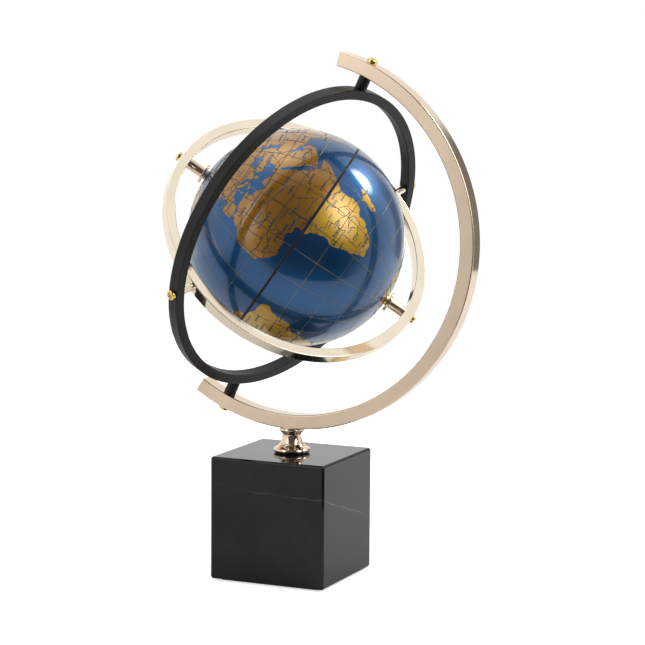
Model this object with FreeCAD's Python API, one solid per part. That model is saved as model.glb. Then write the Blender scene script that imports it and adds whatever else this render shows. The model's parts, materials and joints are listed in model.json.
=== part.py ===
import FreeCAD, Part
import math
import os
from FreeCAD import Placement, Rotation, Vector

os.makedirs("parts", exist_ok=True)

# Desktop globe in two turning rings, held by a C-shaped arm on a marble block.
# Millimetres, +Z up. The origin is the centre of the pad's underside. The wide face of
# the block looks along -Y and the arm stands in the XZ plane, open towards -X.

# ---------------------------------------------------------------- driving dimensions
# Block and its fastening
block_width = 100.0
block_depth = 96.0
block_height = 100.0
block_chamfer = 1.5
pad_thickness = 1.2
pad_inset = 5.0
rod_radius = 3.0
rod_engagement = 7.5
rod_stick_out = 2.0
rod_chamfer = 0.6
pocket_radius = 13.0
pocket_depth = 16.0
washer_radius = 9.0
washer_thickness = 1.6
lock_washer_radius = 5.9
lock_washer_thickness = 1.6
lock_washer_gap = 1.2
lock_washer_split_deg = 25.0
nut_flats = 10.0
nut_height = 5.0
nut_bevel = 0.47
gasket_thickness = 0.4
gasket_inset = 0.6

# Neck: a turned spool with a bead at its foot and a collar at its top
neck_height = 20.2
neck_foot_radius = 13.4
neck_bead_radius = 15.0
neck_bead_height = 3.8
neck_bead_lip = 1.2
neck_waist_radius = 7.7
neck_waist_level = 13.4
neck_collar_radius = 10.0
neck_collar_height = 4.0
neck_collar_step = 0.7
neck_top_radius = 8.8

# Arm
globe_offset_x = 3.0
tilt_deg = 24.5
arm_width = 11.6
arm_depth = 15.0
arm_edge = 1.0
arm_overhang = 24.5

# Rings
outer_ring_width = 8.0
outer_ring_depth = 10.0
outer_ring_edge = 0.8
outer_ring_turn_deg = 75.0
inner_ring_width = 8.0
inner_ring_depth = 9.4
inner_ring_edge = 0.6
inner_ring_turn_deg = -116.5

# Open gaps between the nested pieces, from the ball outwards
pole_gap = 17.5
cross_gap = 11.0
pivot_gap = 11.0

# Pivots of the outer ring in the arm
post_radius = 4.8
post_flare = 0.9
post_flare_height = 2.25
post_tap_depth = 4.8
pivot_screw_radius = 2.0
pivot_head_radius = 4.3
pivot_head_height = 3.0
pivot_thread_length = 8.0

# Pivots of the inner ring in the outer ring
sleeve_radius = 3.6
spigot_radius = 2.6
spigot_recess = 0.3
cross_screw_radius = 1.75
cross_head_radius = 4.0
cross_head_height = 2.8
cross_thread_length = 7.0

# Poles
pole_sleeve_radius = 4.3
pole_screw_radius = 1.5
pole_head_radius = 3.8
pole_head_height = 2.8
pole_flange_radius = 8.3
pole_flange_thickness = 2.1
pole_flange_rounding = 0.42
pole_bushing_radius = 4.0
pole_bushing_stand = 1.6
pole_bushing_length = 9.0
pole_bushing_chamfer = 0.3
pole_screw_reach = 7.0

# Globe
globe_radius = 87.5
shell_thickness = 1.8
skin_thickness = 0.3
seam_gap = 0.5
hub_radius = 11.0
hub_height = 9.0
joint_ring_height = 12.0
joint_ring_thickness = 1.6

# Shape of every pan-head screw, as shares of its head's radius and height
screw_rim_share = 0.4
screw_shoulder_out_share = 0.78
screw_shoulder_up_share = 0.86
screw_lead_share = 0.3
recess_length_share = 1.1
recess_width_share = 0.24
recess_depth_share = 0.5

# Clearances
running = 0.05
hole_clearance = 0.25
fit_gap = 0.02
thrust_gap = 0.15
friction_washer_thickness = 0.5
hole_run_out = 0.5
thread_run_out = 2.5
cut_margin = 1.0

# ---------------------------------------------------------------- derived places
inner_ring_bore = globe_radius + pole_gap
inner_ring_radius = inner_ring_bore + inner_ring_width
outer_ring_bore = inner_ring_radius + cross_gap
outer_ring_radius = outer_ring_bore + outer_ring_width
arm_inner_radius = outer_ring_radius + pivot_gap
arm_outer_radius = arm_inner_radius + arm_width
arm_middle_radius = arm_inner_radius + arm_width / 2
block_bottom = pad_thickness
block_top = block_bottom + block_height
neck_bottom = block_top + gasket_thickness
neck_top = neck_bottom + neck_height
# The arm's underside has a flat as wide as the collar's top, and the neck stands there.
seat_drop = math.sqrt(arm_outer_radius ** 2 - (neck_top_radius + abs(globe_offset_x)) ** 2)
centre = Vector(globe_offset_x, 0, neck_top + seat_drop)
pocket_ceiling = block_bottom + pocket_depth
nut_top = pocket_ceiling - washer_thickness - lock_washer_thickness
nut_bottom = nut_top - nut_height
rod_bottom = nut_bottom - rod_stick_out
rod_top = neck_top + rod_engagement

shell_radius = globe_radius - skin_thickness
cavity_radius = shell_radius - shell_thickness
overhang_deg = math.degrees(arm_overhang / arm_middle_radius)

# Directions in the arm's plane, as degrees from +Z towards +X. Each ring's own pivots
# stand square to the tilt of the axis it hangs on: with both rings turned flat into the
# arm's plane, the cross pivots are level and the poles fall on the arm's axis.
arm_top_deg = tilt_deg
arm_bottom_deg = tilt_deg + 180
cross_left_deg = -90.0
cross_right_deg = 90.0
pole_north_deg = tilt_deg + 180
pole_south_deg = tilt_deg

tilt_axis = Vector(math.sin(math.radians(tilt_deg)), 0, math.cos(math.radians(tilt_deg)))
cross_axis_flat = Vector(-1, 0, 0)

in_arm = Placement(centre, Rotation())
in_outer_ring = Placement(centre, Rotation(tilt_axis, outer_ring_turn_deg))
in_inner_ring = in_outer_ring.multiply(
    Placement(Vector(0, 0, 0), Rotation(cross_axis_flat, inner_ring_turn_deg)))
in_globe = in_inner_ring


# ---------------------------------------------------------------- helpers
def rod(radius, low, high):
    """Round bar on the Z axis between two levels."""
    return Part.makeCylinder(radius, high - low, Vector(0, 0, low))


def tube(outer, inner, low, high):
    """Round tube on the Z axis between two levels."""
    bore = rod(inner, low - cut_margin, high + cut_margin)
    return rod(outer, low, high).cut(bore)


def spun(points_and_edges, degrees=360.0, axis=Vector(0, 0, 1)):
    """Solid made by turning a closed list of edges about an axis through the origin."""
    face = Part.Face(Part.Wire(Part.__sortEdges__(points_and_edges)))
    return face.revolve(Vector(0, 0, 0), axis, degrees)


def line(a, b):
    return Part.makeLine(a, b)


def arc(a, middle, b):
    return Part.Arc(a, middle, b).toShape()


def rounded_section(inner, outer, depth, edge):
    """Edges of a bar's section in the XY plane, with rounded corners."""
    low, high = -depth / 2, depth / 2
    corners = [(inner, low), (outer, low), (outer, high), (inner, high)]
    inward = [(1, 1), (-1, 1), (-1, -1), (1, -1)]
    turns = [((0, 1), (1, 0)), ((-1, 0), (0, 1)), ((0, -1), (-1, 0)), ((1, 0), (0, -1))]
    starts, ends, edges = [], [], []
    bulge = edge * (1 - math.sqrt(0.5))
    for (x, y), (dx, dy), (before, after) in zip(corners, inward, turns):
        start = Vector(x + before[0] * edge, y + before[1] * edge, 0)
        end = Vector(x + after[0] * edge, y + after[1] * edge, 0)
        edges.append(arc(start, Vector(x + dx * bulge, y + dy * bulge, 0), end))
        starts.append(start)
        ends.append(end)
    for i, end in enumerate(ends):
        edges.append(line(end, starts[(i + 1) % len(starts)]))
    return edges


def aimed(shape, degrees):
    """Turn a piece made along +Z so that it lies along a direction in the XZ plane."""
    turned = shape.copy()
    turned.Placement = Placement(Vector(0, 0, 0), Rotation(Vector(0, 1, 0), degrees))
    return turned


def across(radius, degrees, low, high):
    """Round cutter along a direction in the XZ plane."""
    return aimed(rod(radius, low, high), degrees)


def ring(radius, width, depth, edge):
    """Flat ring in the XZ plane, turned about the Y axis."""
    return spun(rounded_section(radius - width, radius, depth, edge), axis=Vector(0, 1, 0))


def pan_screw(seat, tip, shank, head, height):
    """Cross-recessed pan-head screw along Z: its head sits on seat and points outwards."""
    rim = seat + screw_rim_share * height
    top = seat + height
    shoulder = Vector(screw_shoulder_out_share * head, 0,
                      seat + screw_shoulder_up_share * height)
    profile = [
        line(Vector(0, 0, seat), Vector(head, 0, seat)),
        line(Vector(head, 0, seat), Vector(head, 0, rim)),
        arc(Vector(head, 0, rim), shoulder, Vector(0, 0, top)),
        line(Vector(0, 0, top), Vector(0, 0, seat)),
    ]
    lead = screw_lead_share * shank
    body = rod(shank, tip + lead, seat + height / 4)
    point = Part.makeCone(shank - lead, shank, lead, Vector(0, 0, tip))
    screw = spun(profile).fuse([body, point])
    slot_length = recess_length_share * head
    slot_width = recess_width_share * head
    slot_depth = recess_depth_share * height
    for degrees in (0, 90):
        slot = Part.makeBox(slot_length, slot_width, slot_depth + cut_margin)
        slot.translate(Vector(-slot_length / 2, -slot_width / 2, top - slot_depth))
        slot.rotate(Vector(0, 0, 0), Vector(0, 0, 1), degrees)
        screw = screw.cut(slot)
    return screw.removeSplitter()


def save(name, shape, place=None):
    """Write one piece, moved to its place, as a STEP file."""
    piece = shape.copy()
    if place is not None:
        piece.Placement = place.multiply(piece.Placement)
    piece.exportStep("parts/" + name + ".step")


# ---------------------------------------------------------------- stand
def marble_block():
    block = Part.makeBox(block_width, block_depth, block_height,
                         Vector(-block_width / 2, -block_depth / 2, block_bottom))
    block = block.makeChamfer(block_chamfer, block.Edges)
    pocket = rod(pocket_radius, block_bottom - cut_margin, pocket_ceiling)
    shaft = rod(rod_radius + hole_clearance, pocket_ceiling - cut_margin, block_top + cut_margin)
    return block.cut(pocket).cut(shaft)


def base_pad():
    width = block_width - 2 * pad_inset
    depth = block_depth - 2 * pad_inset
    pad = Part.makeBox(width, depth, pad_thickness, Vector(-width / 2, -depth / 2, 0))
    upright = [e for e in pad.Edges if abs(e.tangentAt(e.FirstParameter).z) > 0.5]
    return pad.makeFillet(pad_inset, upright)


def tie_rod():
    bar = rod(rod_radius, rod_bottom, rod_top)
    ends = [e for e in bar.Edges if e.Closed]
    return bar.makeChamfer(rod_chamfer, ends)


def flat_washer():
    return tube(washer_radius, rod_radius + hole_clearance, pocket_ceiling - washer_thickness,
                pocket_ceiling)


def lock_washer():
    low = nut_top
    high = nut_top + lock_washer_thickness
    coil = tube(lock_washer_radius, rod_radius + hole_clearance, low, high)
    split = Part.makeBox(lock_washer_radius + cut_margin, lock_washer_gap,
                         3 * lock_washer_thickness, Vector(0, -lock_washer_gap / 2, 0))
    split.rotate(Vector(0, 0, 1.5 * lock_washer_thickness), Vector(1, 0, 0),
                 lock_washer_split_deg)
    split.translate(Vector(0, 0, low - lock_washer_thickness))
    return coil.cut(split)


def hex_nut():
    corner = nut_flats / math.sqrt(3)
    points = []
    for i in range(7):
        turn = math.radians(60 * i)
        points.append(Vector(corner * math.cos(turn), corner * math.sin(turn), nut_bottom))
    nut = Part.Face(Part.makePolygon(points)).extrude(Vector(0, 0, nut_height))
    blank = rod(corner, nut_bottom, nut_top)
    blank = blank.makeChamfer(nut_bevel, [e for e in blank.Edges if e.Closed])
    hole = rod(rod_radius + fit_gap, nut_bottom - cut_margin, nut_top + cut_margin)
    return nut.common(blank).cut(hole)


def neck_gasket():
    return tube(neck_foot_radius - gasket_inset, rod_radius + hole_clearance, block_top, neck_bottom)


def neck():
    def at(radius, level):
        return Vector(radius, 0, neck_bottom + level)

    collar_low = neck_height - neck_collar_height
    bead_top_radius = neck_bead_radius - neck_bead_lip
    collar_low_radius = neck_waist_radius + neck_collar_step
    sweep = Part.BSplineCurve()
    sweep.interpolate(
        Points=[at(bead_top_radius, neck_bead_height),
                at(0.55 * neck_waist_radius + 0.45 * bead_top_radius, 0.45 * neck_waist_level),
                at(neck_waist_radius, neck_waist_level),
                at(collar_low_radius, collar_low)],
        InitialTangent=Vector(-1, 0, 0.45), FinalTangent=Vector(1.0, 0, 0.9))
    bore = rod_radius + hole_clearance
    profile = [
        line(at(bore, 0), at(neck_foot_radius, 0)),
        arc(at(neck_foot_radius, 0), at(neck_bead_radius, 0.5 * neck_bead_height),
            at(bead_top_radius, neck_bead_height)),
        sweep.toShape(),
        arc(at(collar_low_radius, collar_low),
            at(neck_collar_radius, neck_height - 0.55 * neck_collar_height),
            at(neck_top_radius, neck_height)),
        line(at(neck_top_radius, neck_height), at(bore, neck_height)),
        line(at(bore, neck_height), at(bore, 0)),
    ]
    return spun(profile)


def c_arm():
    """The arc, made about the origin; it is moved to the globe's centre when saved."""
    start = arm_top_deg - overhang_deg
    sweep = 180 + 2 * overhang_deg
    section = rounded_section(arm_inner_radius, arm_outer_radius, arm_depth, arm_edge)
    bar = spun(section, degrees=sweep, axis=Vector(0, 1, 0))
    # A section on +X turned about +Y runs towards -Z, as the arm does from its top end.
    bar.rotate(Vector(0, 0, 0), Vector(0, 1, 0), start - 90)
    for degrees in (arm_top_deg, arm_bottom_deg):
        bar = bar.cut(across(pivot_screw_radius + running, degrees,
                             arm_inner_radius - cut_margin, arm_outer_radius + cut_margin))
    seat = Part.makeBox(4 * neck_collar_radius, 2 * arm_depth, arm_width,
                        Vector(-globe_offset_x - 2 * neck_collar_radius, -arm_depth,
                               -seat_drop - arm_width))
    hole = rod(rod_radius + fit_gap, -seat_drop - arm_width, -seat_drop + rod_engagement + hole_run_out)
    hole.translate(Vector(-globe_offset_x, 0, 0))
    return bar.cut(seat).cut(hole)


def pivot_washer():
    # Its outer face meets the arm's hollow side at its rim.
    rim = math.sqrt(arm_inner_radius ** 2 - post_radius ** 2)
    return tube(post_radius, pivot_screw_radius + running,
                rim - friction_washer_thickness, rim)


# ---------------------------------------------------------------- outer ring
def outer_ring():
    body = ring(outer_ring_radius, outer_ring_width, outer_ring_depth, outer_ring_edge)
    for degrees in (arm_top_deg, arm_bottom_deg):
        body = body.cut(across(pivot_screw_radius + fit_gap, degrees,
                               outer_ring_radius - post_tap_depth,
                               outer_ring_radius + cut_margin))
    for degrees in (cross_left_deg, cross_right_deg):
        body = body.cut(across(cross_screw_radius + running, degrees,
                               outer_ring_bore - cut_margin, outer_ring_radius + cut_margin))
    return body


def pivot_post():
    """Black post between the outer ring and the arm, with a flared foot on the ring."""
    rim = math.sqrt(arm_inner_radius ** 2 - post_radius ** 2)
    top = rim - friction_washer_thickness - thrust_gap
    foot = outer_ring_radius - outer_ring_width / 2
    flare_top = outer_ring_radius + post_flare_height
    foot_radius = min(post_radius + post_flare, outer_ring_depth / 2 - outer_ring_edge / 2)
    post = rod(post_radius, foot, top)
    if foot_radius > post_radius:
        post = post.fuse(Part.makeCone(foot_radius, post_radius, flare_top - foot,
                                       Vector(0, 0, foot)))
    saddle = Part.makeCylinder(outer_ring_radius, 4 * outer_ring_depth,
                               Vector(0, -2 * outer_ring_depth, 0), Vector(0, 1, 0))
    hole = rod(pivot_screw_radius + fit_gap, foot - cut_margin, top + cut_margin)
    return post.cut(saddle).cut(hole).removeSplitter()


def pivot_screw():
    return pan_screw(arm_outer_radius + thrust_gap, arm_inner_radius - pivot_thread_length,
                     pivot_screw_radius, pivot_head_radius, pivot_head_height)


def cross_washer():
    rim = math.sqrt(outer_ring_bore ** 2 - sleeve_radius ** 2)
    return tube(sleeve_radius, cross_screw_radius + running,
                rim - friction_washer_thickness, rim)


# ---------------------------------------------------------------- inner ring
def inner_ring():
    body = ring(inner_ring_radius, inner_ring_width, inner_ring_depth, inner_ring_edge)
    for degrees in (cross_left_deg, cross_right_deg):
        body = body.cut(across(spigot_radius + fit_gap, degrees,
                               inner_ring_bore - cut_margin, inner_ring_radius + cut_margin))
    for degrees in (pole_north_deg, pole_south_deg):
        body = body.cut(across(pole_screw_radius + fit_gap, degrees,
                               inner_ring_bore - cut_margin, inner_ring_radius + cut_margin))
    return body


cross_screw_tip = outer_ring_bore - friction_washer_thickness - cross_thread_length


def cross_sleeve():
    """Sleeve that stands on the inner ring, with a spigot pressed through the ring."""
    rim = math.sqrt(outer_ring_bore ** 2 - sleeve_radius ** 2)
    top = rim - friction_washer_thickness - thrust_gap
    foot = inner_ring_radius - inner_ring_width / 2
    saddle = Part.makeCylinder(inner_ring_radius, 4 * inner_ring_depth,
                               Vector(0, -2 * inner_ring_depth, 0), Vector(0, 1, 0))
    barrel = rod(sleeve_radius, foot, top).cut(saddle)
    spigot = rod(spigot_radius, inner_ring_bore + spigot_recess, inner_ring_radius + hole_run_out)
    hole = rod(cross_screw_radius + fit_gap, cross_screw_tip - thread_run_out, top + cut_margin)
    return barrel.fuse(spigot).removeSplitter().cut(hole)


def cross_screw():
    return pan_screw(outer_ring_radius + thrust_gap, cross_screw_tip, cross_screw_radius,
                     cross_head_radius, cross_head_height)


flange_inner = globe_radius + pole_bushing_stand + thrust_gap
flange_outer = flange_inner + pole_flange_thickness
bushing_top = globe_radius + pole_bushing_stand
bushing_bottom = bushing_top - pole_bushing_length


def pole_flange():
    disc = tube(pole_flange_radius, pole_screw_radius + fit_gap, flange_inner, flange_outer)
    rims = [e for e in disc.Edges if e.Closed and abs(e.Curve.Radius - pole_flange_radius) < 0.01]
    return disc.makeFillet(pole_flange_rounding, rims)


def pole_sleeve():
    """Sleeve between the inner ring's hollow side and the flange."""
    meet = Part.makeCylinder(inner_ring_bore, 4 * inner_ring_depth,
                             Vector(0, -2 * inner_ring_depth, 0), Vector(0, 1, 0))
    sleeve = tube(pole_sleeve_radius, pole_screw_radius + fit_gap, flange_outer,
                  inner_ring_bore + cut_margin)
    return sleeve.common(meet)


def pole_screw():
    return pan_screw(inner_ring_radius, bushing_top - pole_screw_reach, pole_screw_radius,
                     pole_head_radius, pole_head_height)


# ---------------------------------------------------------------- globe
def hemisphere(outer, inner, edge_gap):
    """Half shell towards +Z, its rim stopped short of the equator by edge_gap."""
    rim_out = math.sqrt(outer ** 2 - edge_gap ** 2)
    rim_in = math.sqrt(inner ** 2 - edge_gap ** 2)
    bore = pole_bushing_radius + fit_gap
    top_out = math.sqrt(outer ** 2 - bore ** 2)
    top_in = math.sqrt(inner ** 2 - bore ** 2)
    half = math.sqrt(0.5)
    profile = [
        line(Vector(rim_in, 0, edge_gap), Vector(rim_out, 0, edge_gap)),
        arc(Vector(rim_out, 0, edge_gap), Vector(outer * half, 0, outer * half),
            Vector(bore, 0, top_out)),
        line(Vector(bore, 0, top_out), Vector(bore, 0, top_in)),
        arc(Vector(bore, 0, top_in), Vector(inner * half, 0, inner * half),
            Vector(rim_in, 0, edge_gap)),
    ]
    return spun(profile)


def pole_hub():
    """Boss glued inside the shell at the pole, which holds the bushing."""
    ball = Part.makeSphere(cavity_radius)
    boss = tube(hub_radius, pole_bushing_radius + fit_gap, cavity_radius - hub_height,
                cavity_radius + cut_margin)
    return boss.common(ball)


def pole_bushing():
    hole = pole_screw_radius + running
    shell = tube(pole_bushing_radius, hole, bushing_bottom, bushing_top)
    rims = [e for e in shell.Edges
            if e.Closed and abs(e.Curve.Radius - pole_bushing_radius) < 0.01]
    return shell.makeChamfer(pole_bushing_chamfer, rims)


def joint_ring():
    """Band glued inside both half shells across the equator."""
    half = joint_ring_height / 2
    radius = math.sqrt(cavity_radius ** 2 - half ** 2)
    ball = Part.makeSphere(cavity_radius)
    band = tube(cavity_radius + cut_margin, radius - joint_ring_thickness, -half, half)
    lip = tube(cavity_radius + seam_gap, radius, -seam_gap / 2, seam_gap / 2)
    return band.common(ball).fuse(lip).removeSplitter()


# ---------------------------------------------------------------- write every piece
save("base_pad", base_pad())
save("marble_block", marble_block())
save("tie_rod", tie_rod())
save("flat_washer", flat_washer())
save("lock_washer", lock_washer())
save("hex_nut", hex_nut())
save("neck_gasket", neck_gasket())
save("neck", neck())
save("c_arm", c_arm(), in_arm)
save("outer_ring", outer_ring(), in_outer_ring)
save("inner_ring", inner_ring(), in_inner_ring)

for side, degrees in (("top", arm_top_deg), ("bottom", arm_bottom_deg)):
    save(side + "_pivot_washer", aimed(pivot_washer(), degrees), in_arm)
    save(side + "_pivot_post", aimed(pivot_post(), degrees), in_outer_ring)
    save(side + "_pivot_screw", aimed(pivot_screw(), degrees), in_outer_ring)

for side, degrees in (("left", cross_left_deg), ("right", cross_right_deg)):
    save(side + "_cross_washer", aimed(cross_washer(), degrees), in_outer_ring)
    save(side + "_cross_sleeve", aimed(cross_sleeve(), degrees), in_inner_ring)
    save(side + "_cross_screw", aimed(cross_screw(), degrees), in_inner_ring)

for side, degrees in (("north", pole_north_deg), ("south", pole_south_deg)):
    save(side + "_pole_screw", aimed(pole_screw(), degrees), in_inner_ring)
    save(side + "_pole_sleeve", aimed(pole_sleeve(), degrees), in_inner_ring)
    save(side + "_pole_flange", aimed(pole_flange(), degrees), in_inner_ring)
    save(side + "_pole_bushing", aimed(pole_bushing(), degrees), in_globe)
    save(side + "_pole_hub", aimed(pole_hub(), degrees), in_globe)
    shell = hemisphere(shell_radius, cavity_radius, seam_gap / 2)
    skin = hemisphere(globe_radius, shell_radius, seam_gap / 2)
    save(side + "_hemisphere", aimed(shell, degrees), in_globe)
    save(side + "_map_skin", aimed(skin, degrees), in_globe)
save("joint_ring", aimed(joint_ring(), pole_north_deg), in_globe)
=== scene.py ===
import json
import logging
import math
import random
from dataclasses import dataclass, field
from enum import Enum
from typing import Callable, Iterable, Sequence

import bmesh
import bpy
import numpy as np
from mathutils import Matrix, Vector
from mathutils.geometry import delaunay_2d_cdt


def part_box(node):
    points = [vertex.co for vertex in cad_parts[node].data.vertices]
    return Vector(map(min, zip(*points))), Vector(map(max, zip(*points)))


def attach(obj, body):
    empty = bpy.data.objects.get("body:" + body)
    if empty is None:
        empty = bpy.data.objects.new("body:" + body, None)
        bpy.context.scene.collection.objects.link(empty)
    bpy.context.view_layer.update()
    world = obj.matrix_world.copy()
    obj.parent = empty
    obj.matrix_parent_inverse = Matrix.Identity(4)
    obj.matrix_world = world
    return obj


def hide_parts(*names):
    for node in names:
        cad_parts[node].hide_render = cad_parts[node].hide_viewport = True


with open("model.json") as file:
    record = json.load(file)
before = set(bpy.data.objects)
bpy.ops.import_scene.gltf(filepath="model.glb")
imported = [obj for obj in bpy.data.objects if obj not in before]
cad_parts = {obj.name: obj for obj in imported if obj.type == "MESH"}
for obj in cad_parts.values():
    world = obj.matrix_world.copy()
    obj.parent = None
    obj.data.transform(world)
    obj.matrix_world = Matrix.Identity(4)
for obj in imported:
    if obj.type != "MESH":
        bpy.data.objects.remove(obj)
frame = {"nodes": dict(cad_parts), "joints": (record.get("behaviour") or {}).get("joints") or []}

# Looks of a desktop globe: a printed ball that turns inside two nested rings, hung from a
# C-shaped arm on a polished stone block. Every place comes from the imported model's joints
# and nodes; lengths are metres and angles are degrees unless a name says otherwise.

LOG = logging.getLogger("desk_globe")
MM = 0.001
TAU = 2 * math.pi
OUTWARD = 0.8  # cosine above which a face counts as looking away from the ball's centre

Point2 = tuple[float, float]
Colour = tuple[float, float, float]


# ------------------------------------------------------------------ frame measurements
@dataclass(frozen=True)
class Span:
    """How far a CAD node reaches about an axis, in metres.

    Attributes:
        inner: Smallest distance of a corner from the axis.
        outer: Largest distance of a corner from the axis.
        low: Lowest place along the axis.
        high: Highest place along the axis.
    """

    inner: float
    outer: float
    low: float
    high: float


def corners_of(node: str) -> np.ndarray:
    """List a CAD node's corners, one a row."""
    return np.array([v.co for v in frame["nodes"][node].data.vertices])


def span_about(node: str, origin: Vector, axis: Vector) -> Span:
    """Measure a CAD node about a line.

    Args:
        node: The node's name.
        origin: A point on the line, from which places along it are counted.
        axis: The line's unit direction.

    Returns:
        The node's reach about that line.
    """
    offset = corners_of(node) - np.array(origin)
    along = offset @ np.array(axis)
    radial = np.sqrt(np.maximum((offset ** 2).sum(axis=1) - along ** 2, 0.0))
    return Span(float(radial.min()), float(radial.max()), float(along.min()), float(along.max()))


def basis(origin: Vector, up: Vector, ahead: Vector) -> Matrix:
    """Make a frame of axes.

    Args:
        origin: Where the frame stands.
        up: Its +Z direction.
        ahead: A direction that its +X leans to.

    Returns:
        The matrix that takes local points to the row frame.
    """
    z_axis = up.normalized()
    x_axis = (ahead - ahead.dot(z_axis) * z_axis).normalized()
    y_axis = z_axis.cross(x_axis)
    turn = Matrix((x_axis, y_axis, z_axis)).transposed().to_4x4()
    return Matrix.Translation(origin) @ turn


@dataclass(frozen=True)
class Gimbal:
    """The globe's centre and the three axes that everything turns about.

    Attributes:
        centre: Where the three axes meet.
        tilt: Direction of the outer ring's axis, towards the arm's top end.
        cross: Direction of the inner ring's axis, towards its left pivot.
        pole: Direction of the globe's north pole.
    """

    centre: Vector
    tilt: Vector
    cross: Vector
    pole: Vector

    @classmethod
    def from_joints(cls, joints: Sequence[dict]) -> "Gimbal":
        """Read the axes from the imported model's joints."""
        named = {joint["name"]: joint for joint in joints}
        centre = Vector(named["globe_spin"]["pos_m"])
        return cls(centre, Vector(named["outer_ring_turn"]["axis"]).normalized(),
                   Vector(named["inner_ring_turn"]["axis"]).normalized(),
                   Vector(named["globe_spin"]["axis"]).normalized())

    def outer_plane(self) -> Matrix:
        """Frame of the outer ring: +Z square to it, +X along the tilted axis."""
        return basis(self.centre, self.tilt.cross(self.cross), self.tilt)

    def inner_plane(self) -> Matrix:
        """Frame of the inner ring: +Z square to it, +X along the cross axis."""
        return basis(self.centre, self.cross.cross(self.pole), self.cross)


# ------------------------------------------------------------------ node trees
class NodeGraph:
    """Adds and links nodes in a shader or geometry tree."""

    def __init__(self, tree: bpy.types.NodeTree) -> None:
        """Start from an existing tree."""
        self.tree = tree

    def add(self, kind: str, given: dict[str | int, object] | None = None,
            **settings: object) -> bpy.types.Node:
        """Add a node.

        Args:
            kind: The node's type name.
            given: What feeds each of its inputs, by the input's name or place.
            **settings: Properties to set on it.

        Returns:
            The new node.
        """
        node = self.tree.nodes.new(kind)
        for name, value in settings.items():
            setattr(node, name, value)
        for key, source in (given or {}).items():
            self.feed(node.inputs[key], source)
        return node

    def feed(self, socket: bpy.types.NodeSocket, source: object) -> None:
        """Link a socket to another, or set its plain value; a colour gets its full alpha."""
        if isinstance(source, bpy.types.NodeSocket):
            self.tree.links.new(source, socket)
        elif socket.type == "RGBA" and len(source) == 3:
            socket.default_value = opaque(source)
        else:
            socket.default_value = source

    def math(self, operation: str, *terms: object) -> bpy.types.NodeSocket:
        """Add a Math node over sockets or numbers and return its result."""
        node = self.add("ShaderNodeMath", operation=operation)
        for socket, term in zip(node.inputs, terms):
            self.feed(socket, term)
        return node.outputs[0]

    def vector(self, operation: str, *terms: object, out: int = 0) -> bpy.types.NodeSocket:
        """Add a Vector Math node over sockets or triples and return one of its results."""
        node = self.add("ShaderNodeVectorMath", operation=operation)
        for socket, term in zip(node.inputs, terms):
            self.feed(socket, term)
        return node.outputs[out]

    def noise(self, where: bpy.types.NodeSocket, scale: float, detail: float = 2.0,
              roughness: float = 0.5) -> bpy.types.NodeSocket:
        """Add a noise texture and return its value."""
        node = self.add("ShaderNodeTexNoise", {"Vector": where, "Scale": scale, "Detail": detail,
                                               "Roughness": roughness})
        return node.outputs[0]

    def spread(self, value: bpy.types.NodeSocket, low: float, high: float,
               from_low: float = 0.0, from_high: float = 1.0) -> bpy.types.NodeSocket:
        """Map a value from one range to another, held at both ends."""
        node = self.add("ShaderNodeMapRange")
        for name, term in (("Value", value), ("From Min", from_low), ("From Max", from_high),
                           ("To Min", low), ("To Max", high)):
            self.feed(node.inputs[name], term)
        return node.outputs[0]

    def scaled(self, colour: bpy.types.NodeSocket, factor: object) -> bpy.types.NodeSocket:
        """Scale a colour's brightness."""
        node = self.add("ShaderNodeVectorMath", {0: colour, "Scale": factor}, operation="SCALE")
        return node.outputs[0]

    def mix(self, factor: object, first: object, second: object) -> bpy.types.NodeSocket:
        """Mix two colours."""
        node = self.add("ShaderNodeMix", data_type="RGBA")
        for index, term in ((0, factor), (6, first), (7, second)):
            self.feed(node.inputs[index], term)
        return node.outputs[2]


def opaque(colour: Colour) -> tuple[float, float, float, float]:
    """Give a colour its full alpha."""
    return (colour[0], colour[1], colour[2], 1.0)


def shade(colour: Colour, factor: float) -> Colour:
    """Scale a colour's brightness."""
    return (colour[0] * factor, colour[1] * factor, colour[2] * factor)


class Surface:
    """A new material with its shader, its object coordinates and its graph."""

    def __init__(self, name: str) -> None:
        """Make the material.

        Args:
            name: The material's name.
        """
        self.material = bpy.data.materials.new(name)
        self.material.use_nodes = True
        self.graph = NodeGraph(self.material.node_tree)
        self.shader = self.material.node_tree.nodes["Principled BSDF"]
        self.place = self.graph.add("ShaderNodeTexCoord").outputs["Object"]

    def set(self, **values: object) -> None:
        """Set or link the shader's sockets; underscores stand for spaces."""
        for name, value in values.items():
            self.graph.feed(self.shader.inputs[name.replace("_", " ")], value)

    def bump(self, height: bpy.types.NodeSocket, strength: float, distance: float) -> None:
        """Give the surface fine relief.

        Args:
            height: The relief, from 0 to 1.
            strength: How much of it shows.
            distance: Its full depth in metres.
        """
        node = self.graph.add("ShaderNodeBump", {"Strength": strength, "Distance": distance,
                                                 "Height": height})
        self.graph.feed(self.shader.inputs["Normal"], node.outputs["Normal"])


# ------------------------------------------------------------------ finishes
class Grain(Enum):
    """How a plated metal was worked before plating."""

    POLISHED = "polished"
    SATIN_FACE = "satin face, polished sides"


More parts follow.
